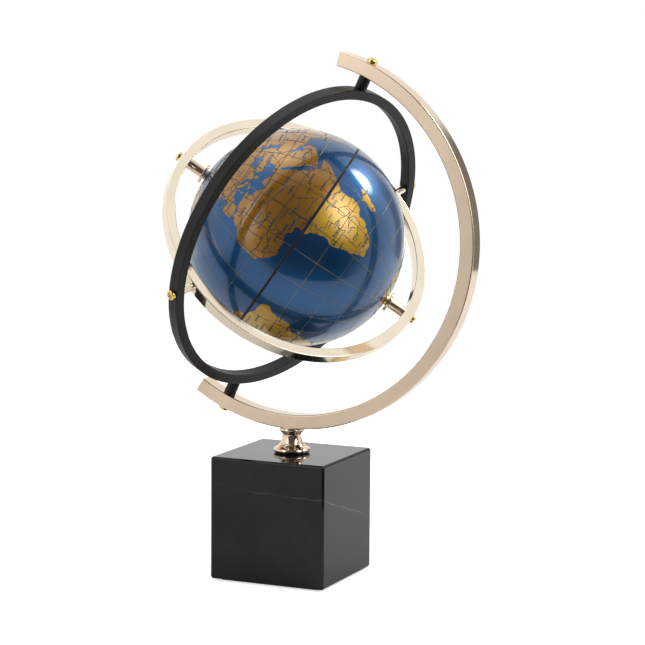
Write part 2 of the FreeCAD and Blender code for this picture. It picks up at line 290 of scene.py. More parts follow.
@dataclass(frozen=True)
class PlatedMetal:
    """Polished or satin plated metal, with faint clouding and hairlines.

    Attributes:
        name: The finish's name.
        colour: Reflected colour.
        roughness: Roughness of the polished parts.
        satin: Roughness of the satin face, where there is one.
        grain: How the metal was worked.
        centre: Centre that a satin grain runs around.
    """

    name: str
    colour: Colour
    roughness: float = 0.08
    satin: float = 0.36
    grain: Grain = Grain.POLISHED
    centre: tuple[float, float, float] = (0.0, 0.0, 0.0)

    def build(self) -> bpy.types.Material:
        """Make the material."""
        made = Surface(self.name)
        graph = made.graph
        cloud = graph.noise(made.place, 34.0, 3.0)
        hairs = graph.noise(graph.vector("MULTIPLY", made.place, (900.0, 140.0, 900.0)), 1.0, 3.0)
        made.set(Base_Color=graph.mix(graph.spread(cloud, 0.0, 1.0, 0.35, 0.65),
                                      shade(self.colour, 0.93), self.colour),
                 Metallic=1.0)
        if self.grain is Grain.POLISHED:
            made.set(Roughness=graph.spread(hairs, 0.75 * self.roughness, 1.5 * self.roughness,
                                            0.3, 0.75))
            made.bump(cloud, 0.05, 0.2 * MM)
            return made.material
        around = graph.vector("SUBTRACT", made.place, self.centre)
        parts = graph.add("ShaderNodeSeparateXYZ", {0: around})
        radius = graph.vector("LENGTH", graph.vector("MULTIPLY", around, (1.0, 0.0, 1.0)), out=1)
        turn = graph.math("ARCTAN2", parts.outputs["X"], parts.outputs["Z"])
        strokes = graph.add("ShaderNodeCombineXYZ")
        graph.feed(strokes.inputs[0], graph.math("MULTIPLY", radius, 3600.0))
        graph.feed(strokes.inputs[1], graph.math("MULTIPLY", turn, 9.0))
        graph.feed(strokes.inputs[2], graph.math("MULTIPLY", parts.outputs["Y"], 900.0))
        brushed = graph.noise(strokes.outputs[0], 1.0, 4.0, 0.6)
        facing = graph.add("ShaderNodeTexCoord").outputs["Normal"]
        flat = graph.math("ABSOLUTE", graph.vector("DOT_PRODUCT", facing, (0.0, 1.0, 0.0), out=1))
        on_face = graph.spread(flat, 0.0, 1.0, 0.6, 0.93)
        satin = graph.spread(brushed, 0.94 * self.satin, 1.06 * self.satin, 0.3, 0.7)
        polish = graph.spread(hairs, 0.8 * self.roughness, 1.6 * self.roughness, 0.3, 0.75)
        blend = graph.math("MULTIPLY_ADD", graph.math("SUBTRACT", satin, polish), on_face, polish)
        made.set(Roughness=blend)
        made.bump(cloud, 0.05, 0.2 * MM)
        return made.material


@dataclass(frozen=True)
class PowderCoat:
    """Satin black powder coat with its fine orange-peel texture."""

    name: str
    colour: Colour
    roughness: float = 0.42

    def build(self) -> bpy.types.Material:
        """Make the material."""
        made = Surface(self.name)
        graph = made.graph
        peel = graph.noise(made.place, 1500.0, 2.0)
        drift = graph.noise(made.place, 26.0, 2.0)
        made.set(Base_Color=graph.mix(drift, shade(self.colour, 0.8),
                                      shade(self.colour, 1.25)),
                 Roughness=graph.spread(peel, 0.85 * self.roughness, 1.2 * self.roughness,
                                        0.3, 0.7),
                 Specular_IOR_Level=0.25)
        made.bump(peel, 0.2, 0.05 * MM)
        return made.material


@dataclass(frozen=True)
class PolishedMarble:
    """Polished black marble crossed by one thin pale vein and a few faint ones.

    Attributes:
        name: The finish's name.
        colour: Ground colour.
        vein: Vein colour.
        normal: Direction square to the main vein's sheet.
        level: Distance of that sheet from the origin along the normal.
        width: Thickness of the main vein.
        fade: Place along X where the main vein dies away towards -X.
    """

    name: str
    colour: Colour
    vein: Colour
    normal: tuple[float, float, float]
    level: float
    width: float
    fade: float

    def sheet(self, made: Surface, normal: tuple[float, float, float], level: float,
              width: float, wander: float, scale: float) -> bpy.types.NodeSocket:
        """Mask of a thin wandering sheet through the stone.

        Args:
            made: The surface being built.
            normal: Direction square to the sheet.
            level: Its distance from the origin.
            width: Its thickness.
            wander: How far it strays.
            scale: How fast it strays, per metre.

        Returns:
            A value that is 1 on the sheet and 0 off it.
        """
        graph = made.graph
        stray = graph.math("MULTIPLY", graph.math("SUBTRACT",
                           graph.noise(made.place, scale, 5.0, 0.6), 0.5), wander)
        depth = graph.math("ADD", graph.vector("DOT_PRODUCT", made.place, normal, out=1), stray)
        distance = graph.math("ABSOLUTE", graph.math("SUBTRACT", depth, level))
        return graph.spread(distance, 1.0, 0.0, 0.25 * width, width)

    def build(self) -> bpy.types.Material:
        """Make the material."""
        made = Surface(self.name)
        graph = made.graph
        cloud = graph.noise(made.place, 22.0, 6.0, 0.62)
        ground = graph.mix(graph.spread(cloud, 0.0, 1.0, 0.4, 0.75), self.colour,
                           shade(self.colour, 2.3))
        patches = graph.spread(graph.noise(made.place, 48.0, 3.0), 0.15, 1.0, 0.38, 0.6)
        parts = graph.add("ShaderNodeSeparateXYZ", {0: made.place})
        alive = graph.spread(parts.outputs["X"], 0.12, 1.0, self.fade - 12 * MM,
                             self.fade + 12 * MM)
        main = graph.math("MULTIPLY", self.sheet(made, self.normal, self.level, self.width,
                                                 9 * MM, 26.0), patches)
        main = graph.math("MULTIPLY", main, alive)
        faint = self.sheet(made, (0.55, -0.35, 0.76), 71 * MM, 0.5 * MM, 26 * MM, 18.0)
        specks = graph.spread(graph.noise(made.place, 420.0, 2.0), 0.0, 0.35, 0.7, 0.8)
        colour = graph.mix(graph.math("MULTIPLY", faint, 0.012), ground, self.vein)
        colour = graph.mix(graph.math("MULTIPLY", specks, 0.12), colour, self.vein)
        colour = graph.mix(graph.math("MULTIPLY", main, 0.34), colour, self.vein)
        made.set(Base_Color=colour, Roughness=graph.spread(cloud, 0.035, 0.075, 0.3, 0.7),
                 Specular_IOR_Level=0.3)
        made.bump(cloud, 0.03, 0.1 * MM)
        return made.material


@dataclass(frozen=True)
class LacquerPrint:
    """Metallic ink under a clear gloss lacquer, with fine pearl flakes.

    Attributes:
        name: The finish's name.
        deep: Ink colour in its darker clouds.
        bright: Ink colour in its brighter clouds.
        metallic: How metallic the ink is.
        roughness: The ink's own roughness.
        coat: How much of the clear lacquer lies over it.
    """

    name: str
    deep: Colour
    bright: Colour
    metallic: float = 0.75
    roughness: float = 0.42
    coat: float = 1.0

    def build(self) -> bpy.types.Material:
        """Make the material."""
        made = Surface(self.name)
        graph = made.graph
        cloud = graph.noise(made.place, 14.0, 2.0)
        flakes = graph.add("ShaderNodeTexVoronoi", {"Vector": made.place, "Scale": 2600.0})
        tint = graph.vector("DOT_PRODUCT", flakes.outputs["Color"], (0.5, 0.3, 0.2), out=1)
        fleck = graph.spread(tint, 0.86, 1.14, 0.2, 0.8)
        ink = graph.mix(graph.spread(cloud, 0.0, 1.0, 0.35, 0.65), self.deep,
                        self.bright)
        made.set(Base_Color=graph.scaled(ink, fleck), Metallic=self.metallic,
                 Roughness=graph.spread(tint, 0.85 * self.roughness, 1.15 * self.roughness,
                                        0.2, 0.8),
                 Coat_Weight=self.coat, Coat_Roughness=0.03, Coat_IOR=1.5)
        return made.material


@dataclass(frozen=True)
class PlainPlastic:
    """Moulded or turned plastic with faint mould marks."""

    name: str
    colour: Colour
    roughness: float = 0.35
    clear: float = 0.0

    def build(self) -> bpy.types.Material:
        """Make the material."""
        made = Surface(self.name)
        graph = made.graph
        marks = graph.noise(made.place, 240.0, 3.0)
        made.set(Base_Color=graph.mix(marks, shade(self.colour, 0.88),
                                      shade(self.colour, 1.08)),
                 Roughness=graph.spread(marks, 0.8 * self.roughness, 1.25 * self.roughness,
                                        0.3, 0.7),
                 Transmission_Weight=self.clear)
        made.bump(marks, 0.1, 0.05 * MM)
        return made.material


@dataclass(frozen=True)
class Felt:
    """Pressed felt: matt, with short tangled fibres."""

    name: str
    colour: Colour

    def build(self) -> bpy.types.Material:
        """Make the material."""
        made = Surface(self.name)
        graph = made.graph
        fibres = graph.noise(made.place, 1800.0, 6.0, 0.7)
        made.set(Base_Color=graph.mix(graph.spread(fibres, 0.0, 1.0, 0.35, 0.65),
                                      shade(self.colour, 0.6),
                                      shade(self.colour, 1.7)),
                 Roughness=graph.spread(fibres, 0.85, 0.98), Sheen_Weight=0.3)
        made.bump(fibres, 0.6, 0.3 * MM)
        return made.material


# ------------------------------------------------------------------ mesh helpers
def link(name: str, mesh: bpy.types.Mesh) -> bpy.types.Object:
    """Put a mesh in the scene as an object at the origin."""
    made = bpy.data.objects.new(name, mesh)
    bpy.context.scene.collection.objects.link(made)
    return made


def written(work: bmesh.types.BMesh, name: str) -> bpy.types.Mesh:
    """Write a working mesh out as a plain mesh, and free it."""
    mesh = bpy.data.meshes.new(name)
    work.to_mesh(mesh)
    work.free()
    return mesh


def evaluated_mesh(source: bpy.types.Object) -> bpy.types.Mesh:
    """Turn an object with its modifiers into one plain mesh, and remove the object."""
    graph = bpy.context.evaluated_depsgraph_get()
    mesh = bpy.data.meshes.new_from_object(source.evaluated_get(graph))
    bpy.data.objects.remove(source)
    return mesh


def crisp(mesh: bpy.types.Mesh, angle: float = 40.0) -> bpy.types.Mesh:
    """Shade a mesh smoothly, with its flats flat and its sharp edges sharp.

    Args:
        mesh: The mesh to shade.
        angle: Edges sharper than this many degrees stay sharp.

    Returns:
        The shaded mesh.
    """
    mesh.shade_smooth()
    mesh.set_sharp_from_angle(angle=math.radians(angle))
    holder = link("shading", mesh)
    weigh = holder.modifiers.new("flats", "WEIGHTED_NORMAL")
    weigh.keep_sharp = True
    weigh.weight = 100
    return evaluated_mesh(holder)


def merged_copy(node: str, gap: float = 0.002 * MM) -> bpy.types.Mesh:
    """Copy a CAD node's loose triangles as one joined mesh.

    Args:
        node: The node's name.
        gap: Corners nearer than this become one.

    Returns:
        The joined mesh, shaded.
    """
    work = bmesh.new()
    work.from_mesh(frame["nodes"][node].data)
    bmesh.ops.remove_doubles(work, verts=work.verts, dist=gap)
    bmesh.ops.dissolve_degenerate(work, edges=work.edges, dist=gap)
    return crisp(written(work, node))


def lathe(profile: Sequence[Point2], place: Matrix, segments: int = 96,
          closed: bool = False) -> bpy.types.Mesh:
    """Turn an outline about +Z.

    Args:
        profile: Radius and height of each point. An open outline starts and ends at radius 0.
        place: Takes the turned shape to its place.
        segments: How many flats make a full turn.
        closed: Whether the last point joins the first.

    Returns:
        The turned mesh, shaded.
    """
    work = bmesh.new()
    rings: list[list[bmesh.types.BMVert]] = []
    for radius, height in profile:
        count = 1 if radius < 1e-9 else segments
        rings.append([work.verts.new((radius * math.cos(TAU * i / segments),
                                      radius * math.sin(TAU * i / segments), height))
                      for i in range(count)])
    pairs = list(zip(rings, rings[1:]))
    if closed:
        pairs.append((rings[-1], rings[0]))
    for low, high in pairs:
        for i in range(segments):
            loop = [low[i % len(low)], low[(i + 1) % len(low)],
                    high[(i + 1) % len(high)], high[i % len(high)]]
            corners = list(dict.fromkeys(loop))
            if len(corners) > 2:
                work.faces.new(corners)
    bmesh.ops.transform(work, matrix=place, verts=work.verts)
    bmesh.ops.recalc_face_normals(work, faces=work.faces)
    return crisp(written(work, "turned"))


# ------------------------------------------------------------------ geometry trees
class GeometryTree(NodeGraph):
    """A Geometry Nodes tree with named inputs, whose result is baked to a plain mesh."""

    def __init__(self, name: str, inputs: dict[str, str]) -> None:
        """Start the tree.

        Args:
            name: The tree's name.
            inputs: Each input's name and its socket's short type.
        """
        super().__init__(bpy.data.node_groups.new(name, "GeometryNodeTree"))
        face = self.tree.interface
        face.new_socket("Geometry", in_out="INPUT", socket_type="NodeSocketGeometry")
        face.new_socket("Geometry", in_out="OUTPUT", socket_type="NodeSocketGeometry")
        self.keys = {label: face.new_socket(label, in_out="INPUT",
                                            socket_type="NodeSocket" + kind).identifier
                     for label, kind in inputs.items()}
        self.inputs = self.add("NodeGroupInput").outputs

    def finish(self, result: bpy.types.NodeSocket) -> None:
        """Realize the result and give it the tree's material."""
        real = self.add("GeometryNodeRealizeInstances", {0: result})
        dress = self.add("GeometryNodeSetMaterial", {"Geometry": real.outputs[0],
                                                     "Material": self.inputs["Material"]})
        self.feed(self.add("NodeGroupOutput").inputs[0], dress.outputs[0])

    def bake(self, base: bpy.types.Mesh, **values: object) -> bpy.types.Mesh:
        """Run the tree on a mesh.

        Args:
            base: The mesh that the tree starts from.
            **values: The inputs' values; underscores stand for spaces.

        Returns:
            The tree's result as one plain mesh.
        """
        holder = link(self.tree.name, base)
        modifier = holder.modifiers.new("tree", "NODES")
        modifier.node_group = self.tree
        for label, value in values.items():
            modifier[self.keys[label.replace("_", " ")]] = value
        return evaluated_mesh(holder)


class BentBar(GeometryTree):
    """A rounded rectangular bar that follows a circle or part of one, in the XY plane."""

    def __init__(self) -> None:
        """Build the tree."""
        super().__init__("bent_bar", {"Radius": "Float", "Radial Width": "Float",
                                      "Depth": "Float", "Edge": "Float", "Start": "Float",
                                      "Sweep": "Float", "Closed": "Bool", "Flats": "Int",
                                      "Material": "Material"})
        given = self.inputs
        arc = self.add("GeometryNodeCurveArc")
        circle = self.add("GeometryNodeCurvePrimitiveCircle")
        for node in (arc, circle):
            self.feed(node.inputs["Resolution"], given["Flats"])
            self.feed(node.inputs["Radius"], given["Radius"])
        self.feed(arc.inputs["Start Angle"], given["Start"])
        self.feed(arc.inputs["Sweep Angle"], given["Sweep"])
        pick = self.add("GeometryNodeSwitch", {0: given["Closed"], 1: arc.outputs[0],
                                               2: circle.outputs[0]}, input_type="GEOMETRY")
        upright = self.add("GeometryNodeSetCurveNormal", {0: pick.outputs[0]}, mode="Z_UP")
        outline = self.add("GeometryNodeCurvePrimitiveQuadrilateral")
        self.feed(outline.inputs["Width"], given["Radial Width"])
        self.feed(outline.inputs["Height"], given["Depth"])
        round_off = self.add("GeometryNodeFilletCurve", {"Count": 5, "Limit Radius": True,
                                                         "Curve": outline.outputs[0],
                                                         "Radius": given["Edge"]}, mode="POLY")
        sweep = self.add("GeometryNodeCurveToMesh", {"Curve": upright.outputs[0],
                                                     "Profile Curve": round_off.outputs[0],
                                                     "Fill Caps": True})
        self.finish(sweep.outputs[0])


class RepeatedPart(GeometryTree):
    """One part repeated at points, each turned along the point's own direction."""

    def __init__(self) -> None:
        """Build the tree."""
        super().__init__("repeated_part", {"Part": "Object", "Seed": "Int",
                                           "Material": "Material"})
        part = self.add("GeometryNodeObjectInfo", transform_space="ORIGINAL")
        self.feed(part.inputs["Object"], self.inputs["Part"])
        aim = self.add("GeometryNodeInputNamedAttribute", data_type="FLOAT_VECTOR")
        aim.inputs["Name"].default_value = "aim"
        chance = self.add("FunctionNodeRandomValue", data_type="FLOAT")
        self.feed(chance.inputs[3], TAU)
        self.feed(chance.inputs["Seed"], self.inputs["Seed"])
        spin = self.add("ShaderNodeCombineXYZ", {"Z": chance.outputs[1]})
        twist = self.add("FunctionNodeEulerToRotation", {0: spin.outputs[0]})
        face = self.add("FunctionNodeAlignRotationToVector", {"Rotation": twist.outputs[0],
                                                              "Vector": aim.outputs[0]}, axis="Z")
        copies = self.add("GeometryNodeInstanceOnPoints", {"Points": self.inputs["Geometry"],
                                                           "Instance": part.outputs["Geometry"],
                                                           "Rotation": face.outputs[0]})
        self.finish(copies.outputs[0])


class PrintedLine(GeometryTree):
    """Flat printed strips that follow a mesh's edges round a ball."""

    def __init__(self) -> None:
        """Build the tree."""
        super().__init__("printed_line", {"Centre": "Vector", "Line Width": "Float",
                                          "Thickness": "Float", "Material": "Material"})
        given = self.inputs
        path = self.add("GeometryNodeMeshToCurve", {"Mesh": given["Geometry"]})
        place = self.add("GeometryNodeInputPosition").outputs[0]
        outward = self.vector("NORMALIZE", self.vector("SUBTRACT", place, given["Centre"]))
        facing = self.add("GeometryNodeSetCurveNormal", {"Curve": path.outputs[0],
                                                         "Normal": outward}, mode="FREE")
        outline = self.add("GeometryNodeCurvePrimitiveQuadrilateral")
        self.feed(outline.inputs["Width"], given["Thickness"])
        self.feed(outline.inputs["Height"], given["Line Width"])
        sweep = self.add("GeometryNodeCurveToMesh", {"Curve": facing.outputs[0],
                                                     "Profile Curve": outline.outputs[0],
                                                     "Fill Caps": True})
        self.finish(sweep.outputs[0])


class ScatteredMark(GeometryTree):
    """Small marks scattered over faces, each lying flat and running east."""

    def outward_faces(self, centre: bpy.types.NodeSocket) -> bpy.types.NodeSocket:
        """Select the faces that look away from a centre."""
        way = self.add("GeometryNodeInputPosition").outputs[0]
        outward = self.vector("NORMALIZE", self.vector("SUBTRACT", way, centre))
        normal = self.add("GeometryNodeInputNormal").outputs[0]
        lean = self.vector("DOT_PRODUCT", normal, outward, out=1)
        return self.math("GREATER_THAN", lean, OUTWARD)

    def __init__(self) -> None:
        """Build the tree."""
        super().__init__("scattered_mark", {"Part": "Object", "Pole": "Vector",
                                            "Centre": "Vector", "Gap": "Float",
                                            "Density": "Float", "Seed": "Int",
                                            "Material": "Material"})
        given = self.inputs
        scatter = self.add("GeometryNodeDistributePointsOnFaces", distribute_method="POISSON")
        self.feed(scatter.inputs["Mesh"], given["Geometry"])
        self.feed(scatter.inputs["Selection"], self.outward_faces(given["Centre"]))
        self.feed(scatter.inputs["Distance Min"], given["Gap"])
        self.feed(scatter.inputs["Density Max"], given["Density"])
        self.feed(scatter.inputs["Seed"], given["Seed"])
        place = self.add("GeometryNodeInputPosition").outputs[0]
        outward = self.vector("NORMALIZE", self.vector("SUBTRACT", place, given["Centre"]))
        east = self.vector("CROSS_PRODUCT", given["Pole"], outward)
        lift = self.add("FunctionNodeAlignRotationToVector", {"Vector": outward}, axis="Z")
        run = self.add("FunctionNodeAlignRotationToVector", axis="X", pivot_axis="Z")
        self.feed(run.inputs["Rotation"], lift.outputs[0])
        self.feed(run.inputs["Vector"], east)
        size = self.add("FunctionNodeRandomValue", {2: 0.7, 3: 1.5,
                                                    "Seed": given["Seed"]}, data_type="FLOAT")
        part = self.add("GeometryNodeObjectInfo", transform_space="ORIGINAL")
        self.feed(part.inputs["Object"], given["Part"])
        copies = self.add("GeometryNodeInstanceOnPoints", {"Points": scatter.outputs["Points"],
                                                           "Instance": part.outputs["Geometry"],
                                                           "Rotation": run.outputs[0],
                                                           "Scale": size.outputs[1]})
        self.finish(copies.outputs[0])


# ------------------------------------------------------------------ workshop
@dataclass
class Workshop:
    """Holds the finishes and trees, and puts each finished mesh on its body.

    Attributes:
        gimbal: The globe's centre and axes.
        finishes: Every finish's material, by the name of its slot or its own.
    """

    gimbal: Gimbal
    finishes: dict[str, bpy.types.Material]
    bar: BentBar = field(default_factory=BentBar)
    repeated: RepeatedPart = field(default_factory=RepeatedPart)
    line: PrintedLine = field(default_factory=PrintedLine)
    mark: ScatteredMark = field(default_factory=ScatteredMark)

    def place(self, name: str, mesh: bpy.types.Mesh, body: str, slot: str, *nodes: str,
              finish: str = "") -> bpy.types.Object:
        """Make a finished piece of a mesh.

        Args:
            name: The piece's name.
            mesh: Its mesh, in place.
            body: The body that it rides on.
            slot: The record's slot that it takes its finish from.
            *nodes: The CAD nodes that it stands for.
            finish: The finish's name, where it isn't the slot's.

        Returns:
            The piece.
        """
        mesh.materials.clear()
        mesh.materials.append(self.finishes[finish or slot])
        piece = link(name, mesh)
        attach(piece, body)
        if nodes:
            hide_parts(*nodes)
        LOG.info("%s: %d faces on %s", name, len(mesh.polygons), body)
        return piece

    def bend(self, span: Span, edge: float, flats: int, **arc: object) -> bpy.types.Mesh:
        """Bend a bar of a CAD node's section round a circle or part of one.

        Args:
            span: The node's reach about the circle's axis.
            edge: Radius of the bar's long edges.
            flats: How many runs make its curve.
            **arc: Where it starts, how far it sweeps and whether it is closed.

        Returns:
            The bar, in the XY plane.
        """
        return self.bar.bake(bpy.data.meshes.new("start"), Radius=(span.inner + span.outer) / 2,
                             Radial_Width=span.outer - span.inner, Depth=span.high - span.low,
                             Edge=edge, Flats=flats, **arc)

    def dress(self, slot: str, *nodes: str) -> None:
        """Give CAD nodes that stay as they are their finish."""
        for node in nodes:
            mesh = frame["nodes"][node].data
            mesh.materials.clear()
            mesh.materials.append(self.finishes[slot])


# ------------------------------------------------------------------ stand
@dataclass
class StoneBase:
    """The stone block on its felt pad, and what is hidden inside it.

    Attributes:
        bevel: Width of the block's polished edge bevel.
        soften: Radius that rounds off the bevel's own edges.
    """

    bevel: float = 1.5 * MM
    soften: float = 0.25 * MM

    def build(self, shop: Workshop) -> None:
        """Build and dress the block, the pad and the hidden fastening."""
        low, high = (Vector(corner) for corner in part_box("marble_block"))
        work = bmesh.new()
        bmesh.ops.create_cube(work, size=1.0)
        bmesh.ops.scale(work, vec=high - low, verts=work.verts)
        bmesh.ops.translate(work, vec=(high + low) / 2, verts=work.verts)
        bmesh.ops.bevel(work, geom=work.edges[:], offset=self.bevel, segments=1, affect="EDGES")
        bmesh.ops.bevel(work, geom=work.edges[:], offset=self.soften, segments=2, profile=0.5,
                        affect="EDGES")
        mesh = written(work, "block")
        shop.place("stone_block", crisp(mesh, 60.0), "stand", "marble", "marble_block")
        shop.dress("felt", "base_pad")
        shop.dress("gasket_rubber", "neck_gasket")
        shop.dress("zinc_steel", "tie_rod", "flat_washer", "lock_washer", "hex_nut")


class Neck:
    """The turned neck between the block and the arm."""

    def build(self, shop: Workshop) -> None:
        """Build and dress the neck."""
        shop.place("neck_turned", merged_copy("neck"), "stand", "rose_gold_polished", "neck")


@dataclass
class Arm:
    """The C-shaped arm.

    Attributes:
        edge: Radius of its long edges.
        flats: How many runs make its curve.
    """

    edge: float = 1.0 * MM
    flats: int = 220

    def build(self, shop: Workshop) -> None:
        """Build and dress the arm and its friction washers."""
        gimbal = shop.gimbal
        plane = basis(gimbal.centre, Vector((0, -1, 0)), Vector((1, 0, 0)))
        span = span_about("c_arm", gimbal.centre, Vector((0, -1, 0)))
        local = (corners_of("c_arm") - np.array(gimbal.centre)) @ np.array(plane.to_3x3())
        turns = np.sort(np.unique(np.round(np.arctan2(local[:, 1], local[:, 0]), 5)))
        gaps = np.diff(np.append(turns, turns[0] + TAU))
        widest = int(gaps.argmax())
        start = float(turns[(widest + 1) % len(turns)])
        sweep = TAU - float(gaps[widest])
        mesh = shop.bend(span, self.edge, self.flats, Start=start, Sweep=sweep, Closed=False)
        mesh.transform(plane)
        shop.place("c_arm_bar", crisp(mesh), "stand", "rose_gold_satin", "c_arm")
        shop.dress("nylon_black", "top_pivot_washer", "bottom_pivot_washer")


class RingKind(Enum):
    """The two nested rings."""

    OUTER = "outer_ring"
    INNER = "inner_ring"


@dataclass
class TurningRing:
    """One of the two nested rings.

    Attributes:
        kind: Which ring it is.
        body: The body that it rides on.
        slot: Its finish.
        edge: Radius of its long edges.
        flats: How many runs make its circle.
    """

    kind: RingKind
    body: str
    slot: str
    edge: float
    flats: int = 288

    def build(self, shop: Workshop) -> None:
        """Build and dress the ring."""
        gimbal = shop.gimbal
        plane = gimbal.outer_plane() if self.kind is RingKind.OUTER else gimbal.inner_plane()
        normal = plane.to_3x3().col[2]
        span = span_about(self.kind.value, gimbal.centre, normal)
        mesh = shop.bend(span, self.edge, self.flats, Closed=True)
        mesh.transform(plane)
        shop.place(self.kind.value + "_bar", crisp(mesh), self.body, self.slot,
                   self.kind.value)


@dataclass
class PanScrew:
    """A cross-recessed screw, modelled along +Z with its head's top at the origin.

    Attributes:
        head: Radius of the head.
        height: Height of the head.
        shank: Radius of the thread.
        length: Length under the head.
        segments: How many flats go round it.
        cross_arm: Reach of the cross recess, as a share of the head's radius.
        cross_half: Half the width of its arms, as a share of the head's radius.
    """

    head: float
    height: float
    shank: float
    length: float
    segments: int = 48
    cross_arm: float = 0.62
    cross_half: float = 0.13

    def slot_radius(self, angle: float, arm: float, half: float) -> float:
        """Distance from the axis to the edge of a cross, in a direction."""
        cos, sin = max(abs(math.cos(angle)), 1e-6), max(abs(math.sin(angle)), 1e-6)
        return max(min(arm / cos, half / sin), min(half / cos, arm / sin))

    def mesh(self) -> bpy.types.Mesh:
        """Build the screw."""
        arm, half = self.cross_arm * self.head, self.cross_half * self.head
        corner = math.atan2(half, arm)
        angles = {TAU * i / self.segments for i in range(self.segments)}
        for quarter in range(4):
            for lean in (-corner, corner, math.pi / 4):
                angles.add((quarter * math.pi / 2 + lean) % TAU)
        turns = sorted(angles)
        crown = self.height
        levels: list[tuple[float, Callable[[float], float]]] = [
            (-self.height - self.length, lambda a: 0.55 * self.shank),
            (-self.height - self.length + 0.5 * self.shank, lambda a: self.shank),
            (-self.height, lambda a: self.shank),
            (-self.height, lambda a: self.head * 0.96),
            (-self.height + 0.06 * crown, lambda a: self.head)]
        for step in range(7):
            lean = math.pi / 2 * step / 6
            levels.append((-0.5 * crown + 0.5 * crown * math.sin(lean) - 0.06 * crown * step / 6,
                           lambda a, c=math.cos(lean): self.head * (0.72 + 0.28 * c)))
        rim = levels[-1][0]
        levels += [(rim + 0.03 * crown, lambda a: max(0.66 * self.head, 1.02 *
                                                      self.slot_radius(a, arm, half))),
                   (rim + 0.04 * crown, lambda a: self.slot_radius(a, arm, half)),
                   (-0.5 * crown, lambda a: 0.8 * self.slot_radius(a, arm, half))]
        work = bmesh.new()
        rings = [[work.verts.new((reach(a) * math.cos(a), reach(a) * math.sin(a), level))
                  for a in turns] for level, reach in levels]
        count = len(turns)
        for low, high in zip(rings, rings[1:]):
            for i in range(count):
                j = (i + 1) % count
                work.faces.new((low[i], low[j], high[j], high[i]))
        for ring, level in ((rings[0], levels[0][0]), (rings[-1], -0.6 * crown)):
            middle = work.verts.new((0, 0, level))
            for i in range(count):
                work.faces.new((ring[i], ring[(i + 1) % count], middle))
        bmesh.ops.recalc_face_normals(work, faces=work.faces)
        return crisp(written(work, "pan_screw"), 32.0)


class ScrewKind(Enum):
    """The screws of the three sets of pivots, each with its own sizes and seed."""

    PIVOT = (3.0 * MM, 2.0 * MM, 3)
    CROSS = (2.8 * MM, 1.75 * MM, 4)
    POLE = (2.8 * MM, 1.5 * MM, 5)

    def __init__(self, height: float, shank: float, seed: int) -> None:
        """Name the kind's values.

        Args:
            height: Height of the head.
            shank: Radius of the thread.
            seed: Seed of the turn at which each screw stopped.
        """
        self.height = height
        self.shank = shank
        self.seed = seed


class Hardware:
    """Posts, sleeves, flanges, bushings and screws where the rings and the ball turn."""

    def screws(self, shop: Workshop, name: str, body: str, kind: ScrewKind,
               ends: dict[str, Vector]) -> None:
        """Build and dress a pair of screws as one piece.

        Args:
            shop: The workshop.
            name: The piece's name.
            body: The body that they ride on.
            kind: Which screws they are.
            ends: Each screw's CAD node and the direction that its head faces.
        """
        spans = {node: span_about(node, shop.gimbal.centre, aim) for node, aim in ends.items()}
        first = next(iter(spans.values()))
        screw = PanScrew(first.outer, kind.height, kind.shank,
                         first.high - first.low - kind.height)
        template = link("screw_pattern", screw.mesh())
        points = bpy.data.meshes.new("places")
        points.from_pydata([shop.gimbal.centre + aim * spans[node].high
                            for node, aim in ends.items()], [], [])
        aims = points.attributes.new("aim", "FLOAT_VECTOR", "POINT")
        for item, aim in zip(aims.data, ends.values()):
            item.vector = aim
        mesh = shop.repeated.bake(points, Part=template, Seed=kind.seed)
        bpy.data.objects.remove(template)
        shop.place(name, mesh, body, "brass", *ends)

    def build(self, shop: Workshop) -> None:
        """Build and dress every pivot."""
        gimbal = shop.gimbal
        for side in ("top", "bottom"):
            shop.place(side + "_post_coated", merged_copy(side + "_pivot_post"),
                       "outer_ring_frame", "black_coat", side + "_pivot_post")
        for side in ("left", "right"):
            shop.place(side + "_sleeve_plated", merged_copy(side + "_cross_sleeve"),
                       "inner_ring_frame", "champagne_polished", side + "_cross_sleeve")
        for side in ("north", "south"):
            shop.place(side + "_sleeve_plated", merged_copy(side + "_pole_sleeve"),
                       "inner_ring_frame", "rose_gold_polished", side + "_pole_sleeve")
            shop.place(side + "_flange_plated", merged_copy(side + "_pole_flange"),
                       "inner_ring_frame", "rose_gold_polished", side + "_pole_flange")
        shop.dress("nylon_black", "left_cross_washer", "right_cross_washer")
        shop.place("north_bushing_clear", merged_copy("north_pole_bushing"), "globe",
                   "nylon_clear", "north_pole_bushing")
        shop.place("south_bushing_brass", merged_copy("south_pole_bushing"), "globe", "brass",
                   "south_pole_bushing")
        self.screws(shop, "pivot_screws", "outer_ring_frame", ScrewKind.PIVOT,
                    {"top_pivot_screw": gimbal.tilt, "bottom_pivot_screw": -gimbal.tilt})
        self.screws(shop, "cross_screws", "inner_ring_frame", ScrewKind.CROSS,
                    {"left_cross_screw": gimbal.cross, "right_cross_screw": -gimbal.cross})
        self.screws(shop, "pole_screws", "inner_ring_frame", ScrewKind.POLE,
                    {"north_pole_screw": gimbal.pole, "south_pole_screw": -gimbal.pole})


